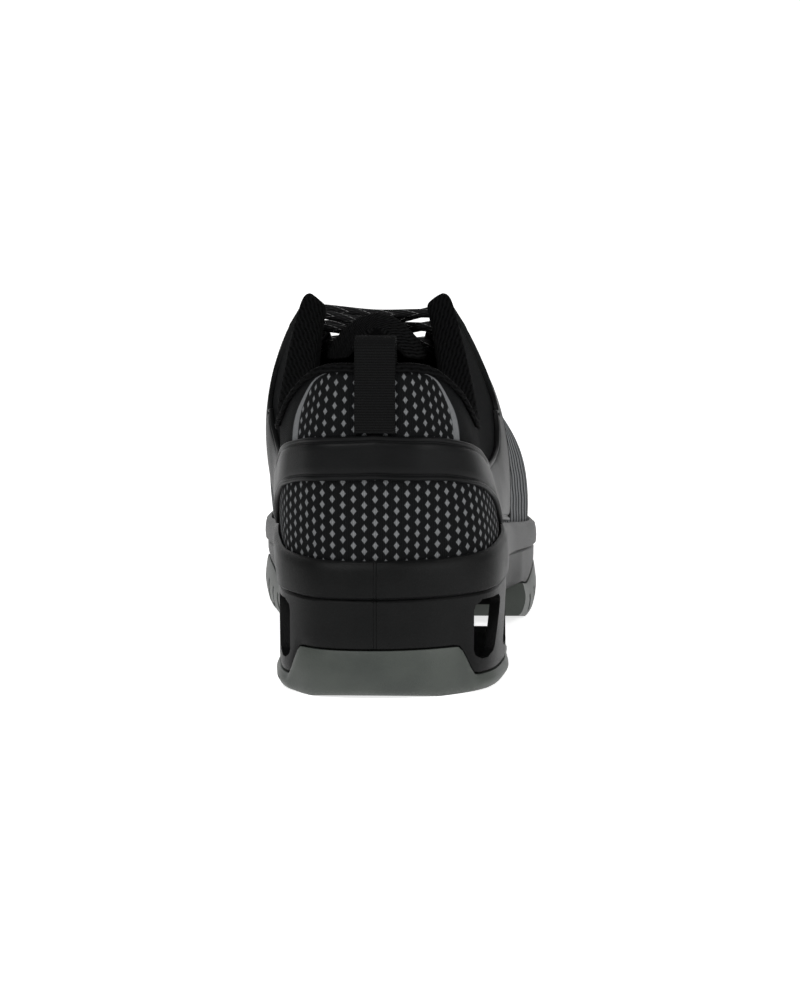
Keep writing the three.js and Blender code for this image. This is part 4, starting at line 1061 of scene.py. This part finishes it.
def eyelet_punches():
    cutters = []
    for side in (1, -1):
        for run in EYELET_RUNS:
            at, normal = eyelet(side, run, EYELET_EDGE_DISTANCE)
            first = unit(np.cross(normal, (0, 1, 0)))
            second = np.cross(normal, first)
            angles = np.linspace(0, 2 * math.pi, 20, endpoint=False)
            ring = (np.cos(angles)[:, None] * first + np.sin(angles)[:, None] * second) * EYELET_DIAMETER / 2
            cutters.append(stacked("cutter", [at + ring - normal * 6, at + ring + normal * 6]))
    return cutters


def catmull(points, steps):
    """An open Catmull-Rom curve through points."""
    points = np.asarray(points, float)
    points = np.concatenate([[2 * points[0] - points[1]], points, [2 * points[-1] - points[-2]]])
    out = []
    for a, b, c, d in zip(points, points[1:], points[2:], points[3:]):
        for k in range(steps):
            t = k / steps
            out.append(0.5 * (2 * b + (c - a) * t + (2 * a - 5 * b + 4 * c - d) * t * t
                              + (3 * b - a - 3 * c + d) * t ** 3))
    out.append(points[-2])
    return np.array(out)


def tube_sections(path, radius, sides):
    """Rings of points round a path."""
    tangents = unit(np.gradient(path, axis=0))
    up = np.array([0.0, 0.0, 1.0])
    rings = []
    angles = np.linspace(0, 2 * math.pi, sides, endpoint=False)
    for at, tangent in zip(path, tangents):
        across = unit(np.cross(tangent, up))
        over = np.cross(across, tangent)
        rings.append(at + radius * (np.cos(angles)[:, None] * across + np.sin(angles)[:, None] * over))
    return np.array(rings)


def tongue_top(x, y):
    """Height of the tongue's upper side at a place."""
    along = y_to_along(y)
    across = (x - float(ridge_x(along))) / (float(column(TONGUE, "along", "half", along)) * THROAT_WIDTH)
    value = lambda name: float(column(TONGUE, "along", name, along))
    return (value("top") - value("drop") * across ** 2) * INSTEP_HEIGHT


def lace_path(row_from, row_to, side):
    """A cord that comes out over the edge at one row and goes in under the edge at the row above."""
    radius = LACE_DIAMETER / 2
    over = FRAME_THICKNESS + radius + GAP
    under = -(UPPER_WALL + radius + GAP)
    half = LACE_SPREAD / 2
    bar = row_from == row_to
    ends = []
    for place, row, shift, beneath in ((side, row_from, half, not bar), (-side, row_to, -half, False)):
        run = EYELET_RUNS[row] + shift
        hole, normal = eyelet(place, run, EYELET_EDGE_DISTANCE)
        lip, lip_normal = eyelet(place, run, LIP_DISTANCE)
        outer, _ = eyelet(place, run, EYELET_EDGE_DISTANCE - 3)
        lift = under if beneath else over
        start = hole - normal * (lift + radius if beneath else 2.2)
        ends.append([start, hole + normal * (lift * 0.45), outer + normal * lift, lip + lip_normal * lift])
    middle = 0.5 * (ends[0][-1] + ends[1][-1])
    stack = 0 if bar else side * radius * 0.9
    middle[2] = tongue_top(middle[0], middle[1]) + 2 * radius + GAP + stack
    return catmull([*ends[0], middle, *ends[1][::-1]], 8)


def make_lace():
    last = len(EYELET_RUNS) - 1
    pairs = [(last, last, 1)]
    for row in range(last):
        pairs += [(row, row + 1, 1), (row, row + 1, -1)]
    points, faces, uvs = [], [], []
    sides = 12
    for row_from, row_to, side in pairs:
        path = lace_path(row_from, row_to, side)
        rings = tube_sections(path, LACE_DIAMETER / 2, sides)
        base = len(points)
        points.extend(rings.reshape(-1, 3))
        metres = travelled(path) * 0.001
        turn = 1 - np.abs(np.linspace(-1, 1, sides, endpoint=False))
        uvs.extend([(t, m) for m in metres for t in turn])
        for i in range(len(rings) - 1):
            for j in range(sides):
                a, b = base + i * sides + j, base + i * sides + (j + 1) % sides
                faces.append((a, b, b + sides, a + sides))
        faces.append(tuple(range(base, base + sides))[::-1])
        faces.append(tuple(len(points) - sides + j for j in range(sides)))
    item = new_object("lace_cord", points, faces, uvs)
    return attach(item, lace_material(), "lace_cord", "lace")


LOOP_ARCH = [(0.74, 0.06), (1, 0.46), (0.72, 0.96), (-0.1, 1.08), (-1.1, 1.05)]


def make_pull_loop():
    heel = Stations([1.0], [0.0])
    band_top = FRAME_EDGES["high"][0] * COLLAR_HEIGHT
    off = GAP + LOOP_THICKNESS / 2
    top_edge = rib_points(heel, [1.0])[0, 0]
    outer_y = top_edge[1] - off - GAP
    inner_y = top_edge[1] + UPPER_WALL + PAD["thick"][0] * PAD_THICKNESS + 2 * GAP + off
    top = COLLAR_HEIGHT + LOOP_HEIGHT - LOOP_THICKNESS / 2
    low = on_upper(heel, share_at_height(heel, [band_top + 2 * GAP])[:, None], off)[0, 0]
    middle = on_upper(heel, share_at_height(heel, [(band_top + COLLAR_HEIGHT) / 2])[:, None], off + GAP)[0, 0]
    arch = [(top_edge[0], outer_y + (inner_y - outer_y) * depth,
             COLLAR_HEIGHT + (top - COLLAR_HEIGHT) * height) for height, depth in LOOP_ARCH]
    path = catmull([low, middle, (top_edge[0], outer_y, COLLAR_HEIGHT), *arch], 10)
    tangents = unit(np.gradient(path, axis=0))
    normal = np.column_stack([np.zeros(len(path)), -tangents[:, 2], tangents[:, 1]])
    half = LOOP_THICKNESS / 2
    section = [(-1, -0.6), (-1, 0.6), (-0.97, 0.95), *[(x, 1) for x in np.linspace(-0.9, 0.9, 9)],
               (0.97, 0.95), (1, 0.6), (1, -0.6), (0.97, -0.95), *[(x, -1) for x in np.linspace(0.9, -0.9, 9)],
               (-0.97, -0.95)]
    across = np.array([1.0, 0, 0])
    sections = np.stack([path + across * x * LOOP_WIDTH / 2 + normal * y * half for x, y in section], axis=1)
    metres = travelled(path) * 0.001
    uv = [(x * LOOP_WIDTH / 2000, m) for m in metres for x, _ in section]
    item = loft("pull_loop_webbing", sections, False, uv)
    material = webbing_material("loop_webbing", 0.0009, (0.0022, 0.0022, 0.0022), (0.006, 0.0062, 0.0063))
    return attach(sharpen(item, 50), material, "webbing", "pull_loop")


def make_camera():
    """The photograph's place: behind the heel, a little to the outer side and above."""
    camera = bpy.data.cameras.new("camera")
    camera.sensor_fit, camera.sensor_height, camera.lens = "VERTICAL", 36, 90.6
    item = bpy.data.objects.new("camera", camera)
    bpy.context.scene.collection.objects.link(item)
    item.location = (0.037, -0.999, 0.180)
    item.rotation_euler = (math.radians(90 - 7.4), 0, math.radians(2))
    bpy.context.scene.camera = item


def area_light(name, at, target, size, power):
    light = bpy.data.lights.new(name, "AREA")
    light.shape, light.size, light.size_y, light.energy = "RECTANGLE", size[0], size[1], power
    item = bpy.data.objects.new(name, light)
    item.location = at
    item.rotation_euler = (Vector(target) - Vector(at)).to_track_quat("-Z", "Y").to_euler()
    bpy.context.scene.collection.objects.link(item)


# The floor and the wall behind it, as a section: distance from the shoe and height, in metres.
SWEEP = [(-4, 0), (3, 0), (3.4, 0.05), (3.7, 0.2), (3.9, 0.5), (4, 1), (4, 4)]
FLOOR_GLOW = 0.72
WORLD_LIGHT = 0.28


def make_studio():
    mesh = bpy.data.meshes.new("floor")
    wide = 5.0
    points = [(x, y, z) for y, z in SWEEP for x in (-wide, wide)]
    faces = [(2 * k, 2 * k + 1, 2 * k + 3, 2 * k + 2) for k in range(len(SWEEP) - 1)]
    mesh.from_pydata(points, [], faces)
    mesh.shade_smooth()
    floor = bpy.data.objects.new("floor", mesh)
    bpy.context.scene.collection.objects.link(floor)
    surface = Surface("floor_white", roughness=0.9, specular=0.0)
    surface.colour((0.85, 0.85, 0.85))
    surface.shader.inputs["Emission Color"].default_value = (1, 1, 1, 1)
    surface.shader.inputs["Emission Strength"].default_value = FLOOR_GLOW
    mesh.materials.append(surface.material)
    world = bpy.data.worlds.new("studio")
    world.use_nodes = True
    background = next(n for n in world.node_tree.nodes if n.type == "BACKGROUND")
    background.inputs[0].default_value = (1, 1, 1, 1)
    background.inputs[1].default_value = WORLD_LIGHT
    bpy.context.scene.world = world
    area_light("key", (-0.5, -1.0, 1.1), (0, -0.05, 0.06), (0.8, 0.8), 13)
    area_light("fill", (0.9, -0.7, 0.6), (0, -0.05, 0.06), (0.7, 0.7), 7)
    bpy.context.scene.view_settings.view_transform = "Standard"


make_camera()
make_studio()
make_upper()
make_frame()
make_midsole()
make_outsoles()
make_insole()
make_collar_pad()
make_tongue()
make_lace()
make_pull_loop()
